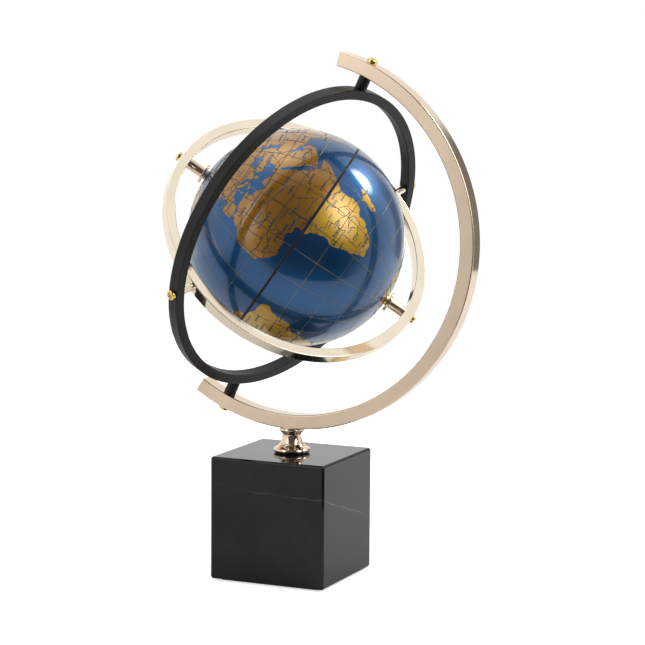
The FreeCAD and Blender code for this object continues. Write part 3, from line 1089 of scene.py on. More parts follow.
# ------------------------------------------------------------------ map
# Outlines drawn for this globe, as "longitude,latitude" points in degrees.
COASTS: dict[str, str] = {
    "africa":
        "-6,35.8 -2,35.1 1,36.5 5,36.8 9.8,37.3 11,37 10.5,35.5 10.1,34.2 11.5,33.2 15.2,32.3 "
        "16,31.2 19,30.3 20.1,31 20,32.3 23,32.6 25.2,31.6 29,30.9 31,31.6 32.3,31.2 "
        "32.6,29.9 33.6,27.8 35.5,24 35.6,22.9 37.2,21 37.4,18.7 38.6,18 39.7,15.1 41.2,14.6 "
        "43.1,12.7 43.3,11.5 44.6,10.4 48,11.2 51.2,11.8 51,10.4 49,6.8 47,4.2 43.5,0.5 "
        "41.5,-1.8 40,-3.3 39,-5.5 39.5,-7 39.5,-9 40.6,-10.8 40.6,-14.5 39,-17 36.8,-18.2 "
        "34.9,-20 35.5,-22.5 35.4,-24 32.8,-25.8 32.7,-28 30.5,-31 28,-33 25.6,-34 22,-34.1 "
        "19.8,-34.8 18.4,-34.1 18.2,-32 16.5,-28.6 15,-26.5 14.4,-22.6 12.6,-18.5 11.8,-16.5 "
        "13.4,-12.5 13.7,-10.8 13,-8.8 12.2,-6 11.8,-4.7 9.7,-2.4 8.8,-0.7 9.4,1 9.8,3 "
        "9.5,3.9 8.5,4.6 7,4.4 5.8,4.4 4.5,6.3 1.9,6.3 -2,4.8 -4.5,5.2 -7.5,4.4 -9.3,5.8 "
        "-11.4,6.9 -13.2,8.7 -13.9,10 -15,11 -16.8,12.4 -16.8,13.7 -17.5,14.7 -16.4,16.5 "
        "-16.1,19 -17,21 -16.2,23 -14.5,26.2 -12.9,27.9 -10,29.5 -9.7,31.4 -8.6,33.3 "
        "-6.8,34.1",
    "eurasia":
        "-5.6,36.1 -6.4,36.8 -7.4,37.2 -8.9,37 -8.8,38.5 -9.5,38.8 -8.7,41 -8.9,42.8 -8,43.7 "
        "-4,43.4 -1.8,43.4 -1.2,44.7 -1.2,46 -2.5,47.3 -4.7,48 -4.6,48.6 -1.6,48.7 -1.9,49.7 "
        "0.2,49.6 1.6,50.5 3.3,51.4 4.7,52.9 7,53.5 8.7,53.9 8.1,55.6 8.2,57 10.6,57.7 "
        "10.3,56.4 9.8,55 11,54.1 12.5,54.4 14.3,53.9 18,54.8 19.8,54.4 21.1,55.5 21.2,57 "
        "22.6,57.6 24.3,57.2 23.5,58.9 26,59.6 29.9,59.9 28,60.6 25,60.2 22.9,59.9 21.4,61 "
        "21.5,63 25.3,65 22.2,65.8 21.3,64.5 17.7,62.4 17.2,60.8 18.9,60 16.7,58.5 16.2,56.6 "
        "14.3,55.5 12.9,55.6 11.2,58.9 10.6,59.3 8,58.1 5.6,58.8 5,61 7,62.8 10.8,64.5 "
        "13,66.5 15.5,68.5 19,69.9 25.7,71 30.5,70.2 33,69.4 40.5,67.7 40.8,66.4 35,66.6 "
        "33.5,66.7 34.8,64.6 37.5,63.9 38,64.8 40.5,64.7 41,66 43.9,66.2 43.7,68.4 47,67.8 "
        "50,68.2 54,68.3 60.5,69 65,69.2 68.3,68.3 66.8,70.5 68.5,72 72,73 73,71.4 72.8,69 "
        "74,68.2 75,70.5 75,72.5 80,72.4 86,73.9 93,76 104,77.6 113,76 112,74.3 120,73 "
        "128,72.5 131,70.9 139,72.2 150,71.5 160,69.7 170,69.4 178,69 190,66 187,64.4 "
        "178,62.5 170,60 163,59.5 162,57 160,54 156.7,51 155.7,55 158,58 163,61.5 160,61.8 "
        "155,59.5 149,59.4 142.5,59 137,54.5 140.5,53 140.3,49 136,44.5 132.5,43 130,42.2 "
        "127.6,39.8 129.3,37 129,35.3 126.5,34.4 126.6,37.2 125,38.6 124.5,40 121.5,39 "
        "121.8,40.8 118,39 119,37.3 122.5,37.2 119.3,34.8 121.8,32 121.8,29.3 119.6,25.5 "
        "116.6,23 113.5,22.2 110,21.3 108,21.6 106,19.8 108.8,15.5 109.3,12 106.8,10.3 "
        "105,8.8 105,10.5 102.5,12 100.9,13.3 99.8,11.5 99.3,9.5 100.8,7 103.3,4.5 104.2,1.4 "
        "103.5,1.3 101.3,2.8 100.3,5.5 98.4,8 98.6,12 97.7,15.5 95.5,15.8 94.3,17 92,21.5 "
        "90.5,22.6 87,21.4 85,19.5 82.3,16.7 80.3,15.3 80.2,13 79.9,10.4 78,8.4 76.5,9.5 "
        "74.8,13 73,17.5 72.7,20.8 70.3,20.9 69,22.4 67,24.8 62,25.2 57.5,25.6 56.5,27 "
        "52.5,27.4 50.5,29.8 48,30 48.2,28.6 50.2,26.5 51.4,25.8 51.8,24.1 54.3,24.2 "
        "56.2,26.2 56.8,24.2 59.7,22.5 57.8,19 55,17 52,15.6 48.5,14 45,12.8 43.4,12.7 "
        "42.7,16.3 40.5,19.8 39,22 37.2,25 35,28 34.9,29.4 34.3,27.9 33,29.2 32.6,29.9 "
        "32.4,31.2 34.3,31.3 35.1,33 35.9,35.5 36.1,36.8 33.8,36.2 30.7,36.8 28,36.7 "
        "26.5,38.5 26.2,40 29.1,41.1 31.4,41.3 35,42 38.3,41 41.5,41.5 39.5,43.7 37,45 "
        "39.2,47.2 35,46.3 36.5,45.2 33.5,44.5 32.7,46.1 30.8,46.3 28.7,44 27.7,42.5 "
        "28.9,41.2 27,40.7 26.1,40.6 23.8,40.3 22.8,39.5 24,38 23,36.5 21.5,37 21,38.6 "
        "19.4,40.4 19.5,41.8 16,43.5 13.8,45 12.4,45.3 12.3,44.2 14,42.5 16,41.6 18.4,40.2 "
        "17,40.5 16.6,38.7 15.7,37.9 15.8,39.8 14,40.8 11.5,42.4 10.2,43.9 8.7,44.4 6.2,43.1 "
        "3.2,43.3 3.2,42 0.5,40.6 -0.3,39 -0.7,37.7 -2.1,36.8 -4.4,36.7",
    "n_america":
        "-168,65.7 -162,66.5 -166,68.4 -156.5,71.3 -142,70 -128,70.3 -115,69 -108,68 -95,68.5 "
        "-93,71.5 -86,68 -82,69.5 -81.5,67.2 -87,65 -94,61.5 -94.5,59 -92,57 -85,55.3 "
        "-82.3,53 -80,51.2 -79,54.5 -77,57.5 -78,62.4 -70,61 -65.5,58.7 -61.5,56.5 -57,54 "
        "-55.7,52.3 -60,50.2 -66.5,50 -70,47.2 -65,48.8 -64.5,46.5 -61,45.5 -66,43.7 "
        "-67.5,44.5 -70.5,43.3 -70,41.7 -74,40.6 -75.5,38 -75.6,35.3 -79,33.4 -81.3,31.2 "
        "-80.1,26.8 -80.8,25.2 -82.7,28 -84,30 -89.5,30.2 -91,29.3 -95,29.2 -97.3,27.5 "
        "-97.7,23 -96,19.3 -94.5,18.2 -91,18.7 -90.3,21 -87,21.4 -88.2,17.5 -88.5,15.8 "
        "-83.3,15 -83.6,11 -81.5,8.9 -79.5,9.5 -77.3,8.5 -78.2,7.4 -80,7.3 -83,8.3 -85.8,10.2 "
        "-87.6,12.9 -91.5,14 -94.5,16.2 -97.5,15.9 -102,17.9 -105.5,20.2 -106.5,23.3 "
        "-109.5,26.2 -112.8,30.5 -114.8,31.6 -112.5,27.5 -109.6,23 -112,25 -115,28 "
        "-117.2,32.6 -120.6,34.6 -122.5,37.2 -124.3,40.4 -124,46 -124.6,48.3 -122.8,49 "
        "-127.8,51 -130.3,54.8 -135,58.3 -140,59.8 -148,60.8 -151.5,59.3 -154,58.8 -158.5,56 "
        "-164.5,54.6 -158,58.6 -162,58.7 -165.5,61.5 -161,64.3 -166.5,64.5",
    "s_america":
        "-77.3,8.5 -75.5,10.7 -71.7,12.4 -71.5,10.8 -68,11.3 -62,10.6 -60,8.4 -57,6 -52,5 "
        "-50,1.5 -50.5,-0.2 -48,-0.7 -44.3,-2.5 -40,-2.8 -35.2,-5.3 -35,-8.5 -38.5,-13 "
        "-39.2,-17.5 -41,-22 -44.5,-23.2 -48.5,-26 -48.8,-28.6 -52.2,-32.2 -54.5,-34.8 "
        "-58.3,-34.2 -56.8,-36.5 -58,-38.3 -62.2,-39 -65,-41 -63.8,-42.5 -67.3,-45.8 "
        "-65.8,-47.5 -69,-50.5 -68.4,-52.4 -65.5,-54.8 -70,-55.2 -74,-52.5 -75.5,-49 -74,-44 "
        "-73.5,-39.5 -71.6,-33 -70.3,-25 -70.3,-18.4 -76.2,-14 -79.5,-8 -81.3,-5 -80,-3.2 "
        "-80.5,-1 -79,1.5 -77.3,3.8 -77.5,7",
    "australia":
        "114,-22 113.5,-26 115.7,-32 115.1,-34.3 118,-35 123.5,-33.9 131,-31.5 135.5,-34.8 "
        "138,-33 140,-37.8 143.5,-38.8 147,-38.2 150,-37.5 151.5,-33 153.5,-28.5 153,-25 "
        "149,-20.3 146,-19 145.3,-15 142.5,-10.8 141.5,-14 140.5,-17.6 136,-15.5 136.8,-12.3 "
        "132.5,-11.4 130,-13.5 128.3,-15 125.8,-14.2 122.3,-17.5 119,-20",
    "antarctica":
        "-57,-63.3 -61,-66 -62,-70 -60,-74 -62,-77 -50,-78 -35,-78 -26,-76 -11,-71.5 10,-70 "
        "30,-69.5 50,-67 70,-68.5 88,-66.8 110,-66.3 135,-66 150,-68.5 165,-70.8 171,-72 "
        "165,-78 180,-78.3 -158,-77.5 -145,-75.5 -125,-74 -102,-74.8 -90,-73 -75,-73 -68,-69 "
        "-65,-65.5",
    "greenland":
        "-73,78.2 -60,82 -35,83.5 -18,80.5 -20,75 -22.5,71 -32,68 -41,65 -43.5,60 -49,61.5 "
        "-53.5,66.5 -51,69.8 -56,73.5 -66,76",
    "baffin": "-61.5,66.8 -68,63 -72,64 -78,70 -88,73.5 -80,73.6 -70,70.7",
    "victoria": "-105,69 -117,70 -117,73 -105,73",
    "ellesmere": "-62,82.5 -75,83 -92,81 -85,76.5 -78,77",
    "novaya_zemlya": "52,71.5 56,73.5 62,75.8 68,76.7 60,74.5 56.5,72 55,70.8",
    "svalbard": "12,78.5 17,80 25,80 22,78.4 17,76.7",
    "great_britain":
        "-5.5,50.1 -3.4,50.3 1.2,51.1 1.7,52.7 0.2,53.2 -1.3,54.7 -2,57.4 -4.1,57.7 -3.1,58.6 "
        "-5.1,58.5 -5.8,56.5 -4.8,54.8 -3,53.8 -4.5,53 -5.2,51.9 -3.2,51.4",
    "ireland": "-6.1,52.2 -6,54 -7.3,55.3 -9.9,54.2 -10,51.8",
    "iceland": "-22,64 -18.5,63.5 -14.5,64.5 -16,66.4 -20,65.9 -22.5,66.3 -24,65.2",
    "sicily": "12.5,38 15.5,38.2 15.1,36.8",
    "sardinia": "8.3,40.8 9.6,40.9 9.5,39.2 8.5,39",
    "corsica": "8.7,42.4 9.5,42.9 9.4,41.5 8.8,41.6",
    "crete": "23.6,35.4 26.2,35.2 24.8,34.9",
    "cyprus": "32.3,35 34.5,35.6 33.8,34.9 33,34.6",
    "madagascar":
        "49.3,-12 50.4,-15.5 49.6,-17 47.2,-24.8 45.2,-25.4 43.4,-23 44.4,-20 44.2,-16.5 "
        "47,-15.3",
    "cuba": "-84.8,22 -80.5,23.1 -74.2,20.2 -77.6,19.9 -80,21.8",
    "hispaniola": "-74.4,18.6 -72.8,19.9 -68.4,18.6 -71.4,17.7",
    "newfoundland": "-59.3,47.7 -55.5,51.5 -53,47.5",
    "tasmania": "144.7,-40.8 148.3,-40.9 147.5,-43.5 146,-43.5",
    "nz_n": "172.8,-34.5 175.8,-37 178.3,-37.8 176.8,-40 174.9,-41.4 173.9,-39.3",
    "nz_s": "172.8,-40.6 174.2,-41.7 171.3,-44.2 170.6,-45.9 168.5,-46.6 166.6,-46 170.8,-42.8",
    "new_guinea":
        "131,-0.9 134,-0.9 137.8,-1.6 145,-4.3 150.5,-10.5 144,-7.8 142.6,-9.2 138.5,-8.2 "
        "137.8,-5.2 133,-4",
    "borneo": "109,1.5 111.3,2.5 115,5 117,7 119,5 117.6,1 116.2,-3.6 114.5,-4 110.2,-2.8",
    "sumatra": "95.3,5.6 98.5,4.2 103.5,0 106,-3.2 105.8,-5.8 102.3,-4 98.8,1.7",
    "java": "105.2,-6.8 108.5,-6.6 112.6,-6.9 114.5,-8.2 110,-8.2",
    "sulawesi": "119.5,-5.5 119,-2.7 120,0.8 125,1.5 120.5,0.3 123,-1 121.5,-2 122.7,-5 120.5,-3",
    "luzon": "120.5,18.4 122.2,18.4 121.7,15 124,12.8 120.7,13.8 119.9,16.2",
    "mindanao": "122,7 124.5,8.6 126.4,8.5 125.5,5.8",
    "taiwan": "120.2,23.2 121.6,25.2 121,22",
    "hainan": "108.7,19.2 111,20 109.5,18.2",
    "honshu":
        "131,34.2 135.8,35.6 138.5,37.4 140,40.3 141.4,41.4 141.8,38.5 140.8,35.8 138.5,34.7 "
        "135.5,33.6 133,34.4",
    "hokkaido": "140,41.5 141.7,45.4 145.3,43.3 143,42",
    "kyushu": "129.8,33.3 131.8,33.6 131,31.2 130.2,31.3",
    "sakhalin": "142,46 142,54 143.3,52.5 143,49 143.5,46.5",
    "sri_lanka": "79.8,8.5 81.2,8.6 81.8,7 80.5,6",
}
INLAND_SEA = (
    "47,45 50,46.8 53,46.5 53,45 51,44.5 50.5,43 52.8,41.5 53,39.5 54,37 51,36.7 49,37.6 "
    "49.3,39.3 49.8,40.5 47.8,42.7 47,44")
BORDERS: tuple[str, ...] = (
    "-2.2,35.1 -1.2,32.2 -3.6,31 -8.7,28.7 -8.7,27.3",
    "-13,27.7 -8.7,27.7",
    "-8.7,27.3 -8.7,26 -12,26 -12,23.4 -13,21.3 -17,21.3",
    "-8.7,27.3 -4.8,25 1.2,21.1 3.2,19 4.2,19.2 7.5,20.9 12,23.5",
    "12,23.5 9.9,26.5 9.5,30.2 7.5,33.8 8.3,36.9",
    "9.5,30.2 11.5,33.1",
    "25,31.6 25,22",
    "25,22 36.8,22",
    "12,23.5 15,23 24,19.5 25,20 25,22",
    "24,19.5 24,15.7 22.5,14 22,12.6 23,10.8",
    "15,23 15.5,16.9 13.6,13.7",
    "4.2,19.2 3.5,15.5 1,15 0.2,15 2.4,12",
    "3.6,11.7 4.1,13.5 7.8,13.3 13.6,13.7",
    "-12,15 -5.5,15.5 -6.5,25",
    "0.2,15 -2,14.2 -5.3,11.8 -5.5,10.4 -8,10.2 -11.4,12.2 -12,15",
    "-16.5,16 -13.5,16.2 -12,14.8",
    "-13.3,9 -10.8,9.9 -8.3,7.6 -7.5,4.4",
    "-8,10.2 -8.3,7.6",
    "-2.8,9.6 -3,5.1",
    "0.5,11 0.5,6.2",
    "1.6,11.4 1.7,6.2",
    "2.8,12 2.8,6.4",
    "14,12.9 13.5,10 11,6.6 8.6,4.7",
    "15.5,10 14.5,5.5 16.1,2.3 11.4,2.3 9.8,2.2",
    "15.5,7.5 19,9 22.8,11 24.5,8.7 27.4,5.1",
    "27.4,5.1 22.5,4.1 18.6,4.3 18,3.5 16.2,-1 15.9,-4 13,-4.8 12.3,-6",
    "13.3,2.2 14.4,-1.9 12,-2.4 11.1,-3.9",
    "24.5,8.7 28,9.4 31,9.8 33,12.2 34,9.5 33,8 36,4.5",
    "34.2,10.8 36.2,13.5 36.9,17 38.6,18",
    "36.5,14.3 40,14.5 42.4,12.5",
    "42.8,11 44,9 48,8 45,5 41.9,4 36,4.5",
    "41.9,4 41,-0.8 41.5,-1.7",
    "36,4.5 34.5,3.6 34,1 34,-1 37.6,-3 39.2,-4.6",
    "34,-1 30.5,-1.1 29.6,-1.4",
    "30.8,3.5 31.2,2.2 29.7,0.6 29.6,-1.4 29.2,-4 29.4,-6 30.7,-8.2",
    "30.7,-8.2 28.7,-9 28.4,-11.8 29.8,-13.4 27,-12 24,-10.9 22,-11.2 21.8,-7.3 17.5,-8.1 "
    "16.6,-6 12.4,-6",
    "24,-10.9 24,-13 22,-13 22,-16.2 23.4,-17.6 18.5,-17.4 11.8,-17.2",
    "20,-18 20.9,-18.3 20.9,-22 20,-22 20,-28.4 17,-28.7",
    "20,-24.8 23,-25.3 25.8,-24.7 29.4,-22.2",
    "29.4,-22.2 25.3,-17.8",
    "25.3,-17.8 28.8,-16 30.4,-15.6 33,-16.7 32.5,-21.3 31.3,-22.4 32,-25.9",
    "30.4,-15.6 30.2,-14.9 33.2,-14 33.3,-9.6 30.7,-8.2",
    "33.3,-9.6 34.6,-11.5 40.4,-10.5",
    "34.6,-11.5 34.5,-14.5 35.3,-17",
    "27,-29.6 28.6,-28.7 29.4,-29.6 28.2,-30.6 27,-29.6",
    "-8.8,41.9 -6.7,41.8 -7,39 -7.4,37.2",
    "-1.8,43.4 3.1,42.4",
    "2.5,51 6.1,49.5 8.2,49 7.6,47.6 6,46.3 7,45 7.5,43.8",
    "14.2,53.9 14.8,51 12.3,50.2 13.5,48.6 16.9,48.6 18.8,49.5 22.6,49.1",
    "7.6,47.6 13,47.6 10.5,46.8 13.7,46.5 13.7,45.6",
    "19.6,54.4 22.8,54.4 23.6,51.5 22.6,49.1",
    "28,56 31,52 35,50 40,49.6 38.2,47.1",
    "28,59.5 27.6,57.5 26.6,55.7",
    "28,60.6 31.3,62.8 29,69",
    "11.2,59 12.3,61.5 14.2,64.5 20,69",
    "36,36 42.3,37.2 44.8,37.2 44.5,39.8 41.5,41.5",
    "38.8,33.4 42.3,37.2",
    "35.6,32.7 39,32 37,31 34.9,29.5",
    "39,32 46.5,29.1 48.4,28.5",
    "44.8,37.2 46,33 48.5,30",
    "42.8,16.4 45,17.3 52,19 55,20 55.2,22.7 51.6,24.2",
    "52,19 53.1,16.6",
    "53.9,37.4 61,36.6 60.9,31.5 61.6,25.2",
    "61,36.6 66.5,37.4 71,38 74.8,37.2 71,34.5 66.3,30 60.9,29.8",
    "74.8,37.2 74.5,31 70,28 68.2,23.7",
    "49,46 47,49.5 51,51.5 61,50.8 61.5,53.8 69,55.3 77,54 80,51 87.3,49.1",
    "87.3,49.1 80,45 80.2,42.2 73.8,39.5 74.8,37.2 79,34 78.8,31.2 86,28 92,27.8 "
    "97.4,28.2 98.8,24 102,22.4 105.5,23 108,21.6",
    "87.3,49.1 98,50.5 107,49.8 116.7,49.8 119.8,46.7 111.5,43.7 105,41.6 96.4,42.7 "
    "87.8,49.1",
    "116.7,49.8 120,53.3 126,52.8 130.8,48.8 135,48.4 131.2,43.6",
    "-51.6,4 -55,2.3 -60,5 -64,4 -67,1.2 -69.5,-4.3 -73,-7.4 -70.6,-9.5 -65.3,-10 "
    "-60,-16.3 -58,-20 -54.3,-24.1 -53.7,-27 -57.6,-30.2 -53.4,-33.7",
    "-70,-4.2 -75,-0.2 -78.8,1.4",
    "-70.6,-9.5 -69,-12.5 -69.5,-17.6 -68,-22.8 -70,-31 -71.5,-38 -72,-48 -68.5,-52.3",
    "-68,-22.8 -62.6,-22.2 -58,-27.3",
    "-123,49 -95.2,49 -89.5,48 -83,46 -82.5,42.5 -79,43.3 -75,45 -71.5,45 -69,47.4 "
    "-67,44.9",
    "-117.1,32.5 -111,31.3 -106.5,31.8 -101.5,29.8 -97.3,25.9",
    "-141,70 -141,60 -135,59 -130,55",
    "129,-14.9 129,-31.6",
    "138,-16.5 138,-26 141,-26 141,-38",
    "129,-26 138,-26",
    "141,-29 153.4,-28.3",
)


def read_points(text: str) -> list[Point2]:
    """Read "longitude,latitude" points."""
    return [(float(a), float(b)) for a, b in (word.split(",") for word in text.split())]


def roughened(points: Sequence[Point2], chance: random.Random, closed: bool, rounds: int,
              wander: float) -> list[Point2]:
    """Break an outline's straight runs into a natural wandering line.

    Args:
        points: The outline.
        chance: The seeded source of chance.
        closed: Whether its ends join.
        rounds: How many times each run is halved.
        wander: Largest stray of a middle, as a share of its run.

    Returns:
        The wandering outline.
    """
    line = list(points)
    for _ in range(rounds):
        grown: list[Point2] = []
        ends = line[1:] + line[:1] if closed else line[1:]
        for (ax, ay), (bx, by) in zip(line, ends):
            stray = chance.uniform(-wander, wander)
            grown.append((ax, ay))
            grown.append(((ax + bx) / 2 - stray * (by - ay), (ay + by) / 2 + stray * (bx - ax)))
        if not closed:
            grown.append(line[-1])
        line = grown
    return line


def clipped(points: Sequence[Point2], sign: int, edge: float) -> list[Point2]:
    """Keep the part of a closed outline on one side of the equator.

    Args:
        points: The outline.
        sign: 1 for the north, -1 for the south.
        edge: Latitude, without its sign, where the part ends.

    Returns:
        The part's outline, empty where there is none.
    """
    kept: list[Point2] = []
    for (ax, ay), (bx, by) in zip(points, list(points[1:]) + [points[0]]):
        inside_a, inside_b = sign * ay >= edge, sign * by >= edge
        if inside_a:
            kept.append((ax, ay))
        if inside_a != inside_b:
            share = (sign * edge - ay) / (by - ay)
            kept.append((ax + share * (bx - ax), sign * edge))
    dense: list[Point2] = []
    for (ax, ay), (bx, by) in zip(kept, kept[1:] + kept[:1]):
        runs = math.ceil(abs(bx - ax)) if ay == by == sign * edge else 1
        dense += [(ax + (bx - ax) * i / runs, ay + (by - ay) * i / runs)
                  for i in range(max(runs, 1))]
    return dense


def even_odd(point: np.ndarray, outline: np.ndarray) -> np.ndarray:
    """Tell which points lie inside a closed outline.

    Args:
        point: Points, one a row.
        outline: The outline's corners, one a row.

    Returns:
        True for each point inside.
    """
    x, y = point[:, 0:1], point[:, 1:2]
    ax, ay = outline[:, 0], outline[:, 1]
    bx, by = np.roll(ax, -1), np.roll(ay, -1)
    with np.errstate(divide="ignore", invalid="ignore"):
        crosses = ((ay > y) != (by > y)) & (x < (bx - ax) * (y - ay) / (by - ay) + ax)
    return crosses.sum(axis=1) % 2 == 1


@dataclass(frozen=True)
class Half:
    """One half of the ball.

    Attributes:
        name: north or south.
        sign: 1 or -1.
    """

    name: str
    sign: int

    def flat(self, points: Iterable[Point2]) -> np.ndarray:
        """Lay points out flat round this half's pole, in degrees."""
        table = np.array(list(points), dtype=float).reshape(-1, 2)
        reach = 90.0 - self.sign * table[:, 1]
        turn = np.radians(table[:, 0])
        return np.stack((reach * np.cos(turn), reach * np.sin(turn)), axis=1)

    def unflat(self, point: Sequence[float]) -> Point2:
        """Longitude and latitude of a laid-out point."""
        return (math.degrees(math.atan2(point[1], point[0])),
                self.sign * (90.0 - math.hypot(point[0], point[1])))


@dataclass
class MapBall:
    """The printed ball: its ink, land, lines and marks.

    Attributes:
        facing: Longitude that lies towards the left cross pivot at rest, in degrees.
        raise_land: Height of the land ink over the sea ink.
        raise_line: Height of the line ink's middle over the sea ink.
        thickness: Thickness of a printed line.
        sea_line: Width of the lines over the sea.
        land_line: Width of the lines over the land.
        seam_line: Width of the dark line on each side of the seam.
        spacing: Degrees between printed meridians and parallels.
        fill: Degrees between points that carry the land's curve.
        seed: Seed of the coasts' wander.
        wanders: Stray of the coasts, the inland sea and the borders, as a share of a run.
        step: Degrees between the points of a printed line.
        pole_margin: Degrees of bare sea ink round the hole.
        pole_clear: Degrees from the hole to the nearest meridian.
        rim_flats: How many runs make the land's edge at the pole.
        skin_steps: How many steps lead from the seam to the hole.
        skin_flats: How many flats go round the sea ink.
        name_gap: Least distance between two rows of bars.
        name_density: Most rows of bars per square metre.
        label_pitch: Distance between two bars of a row.
        label_depth: Thickness of the bars.
        radius: Outer radius of the sea ink.
        hole: Angle from each pole to the edge of the hole there, in degrees.
        seam: Latitude of each half's edge at the seam, in degrees.
        centre: The ball's centre.
        axes: Directions of the facing longitude, of 90 degrees east of it, and of the pole.
        coasts: Each half's coasts, laid out flat.
        seas: Each half's inland seas, laid out flat.
        borders: Every border, as longitudes and latitudes.
        halves: The ball's two halves.
    """

    facing: float = -43.6
    raise_land: float = 0.05 * MM
    raise_line: float = 0.05 * MM
    thickness: float = 0.10 * MM
    sea_line: float = 0.26 * MM
    land_line: float = 0.42 * MM
    seam_line: float = 0.9 * MM
    spacing: int = 15
    fill: float = 2.0
    seed: int = 11
    wanders: tuple[float, float, float] = (0.16, 0.12, 0.08)
    step: float = 2.5
    pole_margin: float = 0.35
    pole_clear: float = 2.0
    rim_flats: int = 48
    skin_steps: int = 60
    skin_flats: int = 192
    name_gap: float = 5.8 * MM
    name_density: float = 90000.0
    label_pitch: float = 1.25 * MM
    label_depth: float = 0.16 * MM
    radius: float = field(init=False, default=0.0)
    hole: float = field(init=False, default=0.0)
    seam: float = field(init=False, default=0.0)
    centre: Vector = field(init=False)
    axes: tuple[Vector, Vector, Vector] = field(init=False)
    coasts: dict[str, list[np.ndarray]] = field(init=False, default_factory=dict)
    seas: dict[str, list[np.ndarray]] = field(init=False, default_factory=dict)
    borders: list[list[Point2]] = field(init=False, default_factory=list)
    halves: tuple[Half, Half] = (Half("north", 1), Half("south", -1))

    def measure(self, gimbal: Gimbal) -> None:
        """Take the ball's sizes from the CAD skins."""
        span = span_about("north_map_skin", gimbal.centre, gimbal.pole)
        offset = corners_of("north_map_skin") - np.array(gimbal.centre)
        self.radius = float(np.linalg.norm(offset, axis=1).max())
        self.hole = math.degrees(math.asin(span.inner / self.radius))
        self.seam = math.degrees(span.low / self.radius)
        toward = gimbal.cross - gimbal.cross.dot(gimbal.pole) * gimbal.pole
        self.axes = (toward.normalized(), gimbal.pole.cross(toward.normalized()), gimbal.pole)
        self.centre = gimbal.centre

    def spot(self, place: Point2, height: float = 0.0) -> Vector:
        """Point in the row frame over a longitude and latitude."""
        turn, lift = math.radians(place[0] - self.facing), math.radians(place[1])
        toward, side, pole = self.axes
        way = (math.cos(lift) * (math.cos(turn) * toward + math.sin(turn) * side)
               + math.sin(lift) * pole)
        return self.centre + (self.radius + height) * way

    def outlines(self) -> tuple[list[list[Point2]], list[list[Point2]], list[list[Point2]]]:
        """Roughen the coasts, the inland sea and the borders, the same way each time."""
        chance = random.Random(self.seed)
        coast_wander, sea_wander, border_wander = self.wanders
        coasts = [roughened(read_points(text), chance, True, 2, coast_wander)
                  for text in COASTS.values()]
        seas = [roughened(read_points(INLAND_SEA), chance, True, 1, sea_wander)]
        lines = [roughened(read_points(text), chance, False, 2, border_wander)
                 for text in BORDERS]
        return coasts, seas, lines

    def on_land(self, half: Half, points: np.ndarray) -> np.ndarray:
        """Tell which laid-out points are on land."""
        inside = np.zeros(len(points), dtype=bool)
        for outline in self.coasts[half.name]:
            inside |= even_odd(points, outline)
        for outline in self.seas[half.name]:
            inside &= ~even_odd(points, outline)
        return inside

    def lay_out(self, halves: Sequence[Half]) -> None:
        """Lay the coasts and seas of each half out flat."""
        coasts, seas, self.borders = self.outlines()
        edge = 2.0 * self.seam
        for half in halves:
            for store, source in ((self.coasts, coasts), (self.seas, seas)):
                parts = (clipped(outline, half.sign, edge) for outline in source)
                store[half.name] = [half.flat(part) for part in parts if len(part) > 3]

    def land_mesh(self, half: Half) -> bpy.types.Mesh:
        """Build a half's land as a thin closed shell of ink."""
        margin = self.hole + self.pole_margin
        rim = [(margin * math.cos(TAU * i / self.rim_flats),
                margin * math.sin(TAU * i / self.rim_flats)) for i in range(self.rim_flats)]
        loops = self.coasts[half.name] + self.seas[half.name] + [np.array(rim)]
        points: list[Vector] = []
        edges: list[tuple[int, int]] = []
        for loop in loops:
            start, count = len(points), len(loop)
            points += [Vector(corner) for corner in loop]
            edges += [(start + i, start + (i + 1) % count) for i in range(count)]
        steps = np.arange(-90, 90, self.fill)
        grid = np.array([(x + 0.5 * self.fill * (row % 2), y)
                         for row, y in enumerate(steps) for x in steps])
        reach = np.hypot(grid[:, 0], grid[:, 1])
        grid = grid[(reach < 90 - 3 * self.seam) & (reach > margin + 0.5)]
        grid = grid[self.on_land(half, grid)]
        points += [Vector(corner) for corner in grid]
        spots, _, faces, _, _, _ = delaunay_2d_cdt(points, edges, [], 0, 1e-5)
        middles = np.array([np.mean([spots[i] for i in face], axis=0) for face in faces])
        keep = self.on_land(half, middles) & (np.hypot(middles[:, 0], middles[:, 1]) > margin)
        top = [tuple(face) for face, kept in zip(faces, keep) if kept]
        work = bmesh.new()
        layers = []
        for height in (self.raise_land, -self.raise_land):
            layers.append([work.verts.new(self.spot(half.unflat(spot), height))
                           for spot in spots])
        rims: dict[tuple[int, int], int] = {}
        for face in top:
            work.faces.new([layers[0][i] for i in face])
            work.faces.new([layers[1][i] for i in reversed(face)])
            for a, b in zip(face, face[1:] + face[:1]):
                rims[(a, b)] = rims.get((a, b), 0) + 1
        for a, b in rims:
            if (b, a) not in rims:
                work.faces.new((layers[0][b], layers[0][a], layers[1][a], layers[1][b]))
        loose = [vert for vert in work.verts if not vert.link_faces]
        bmesh.ops.delete(work, geom=loose, context="VERTS")
        bmesh.ops.recalc_face_normals(work, faces=work.faces)
        mesh = written(work, half.name + "_land")
        return self.radial_shading(mesh)

    def radial_shading(self, mesh: bpy.types.Mesh) -> bpy.types.Mesh:
        """Give the faces that look outward the ball's own normals."""
        mesh.shade_smooth()
        normals: list[Vector] = []
        for face in mesh.polygons:
            outward = (face.center - self.centre).normalized()
            smooth = face.normal.dot(outward) > OUTWARD
            for corner in face.vertices:
                way = (mesh.vertices[corner].co - self.centre).normalized()
                normals.append(way if smooth else face.normal.copy())
        mesh.normals_split_custom_set(normals)
        return mesh

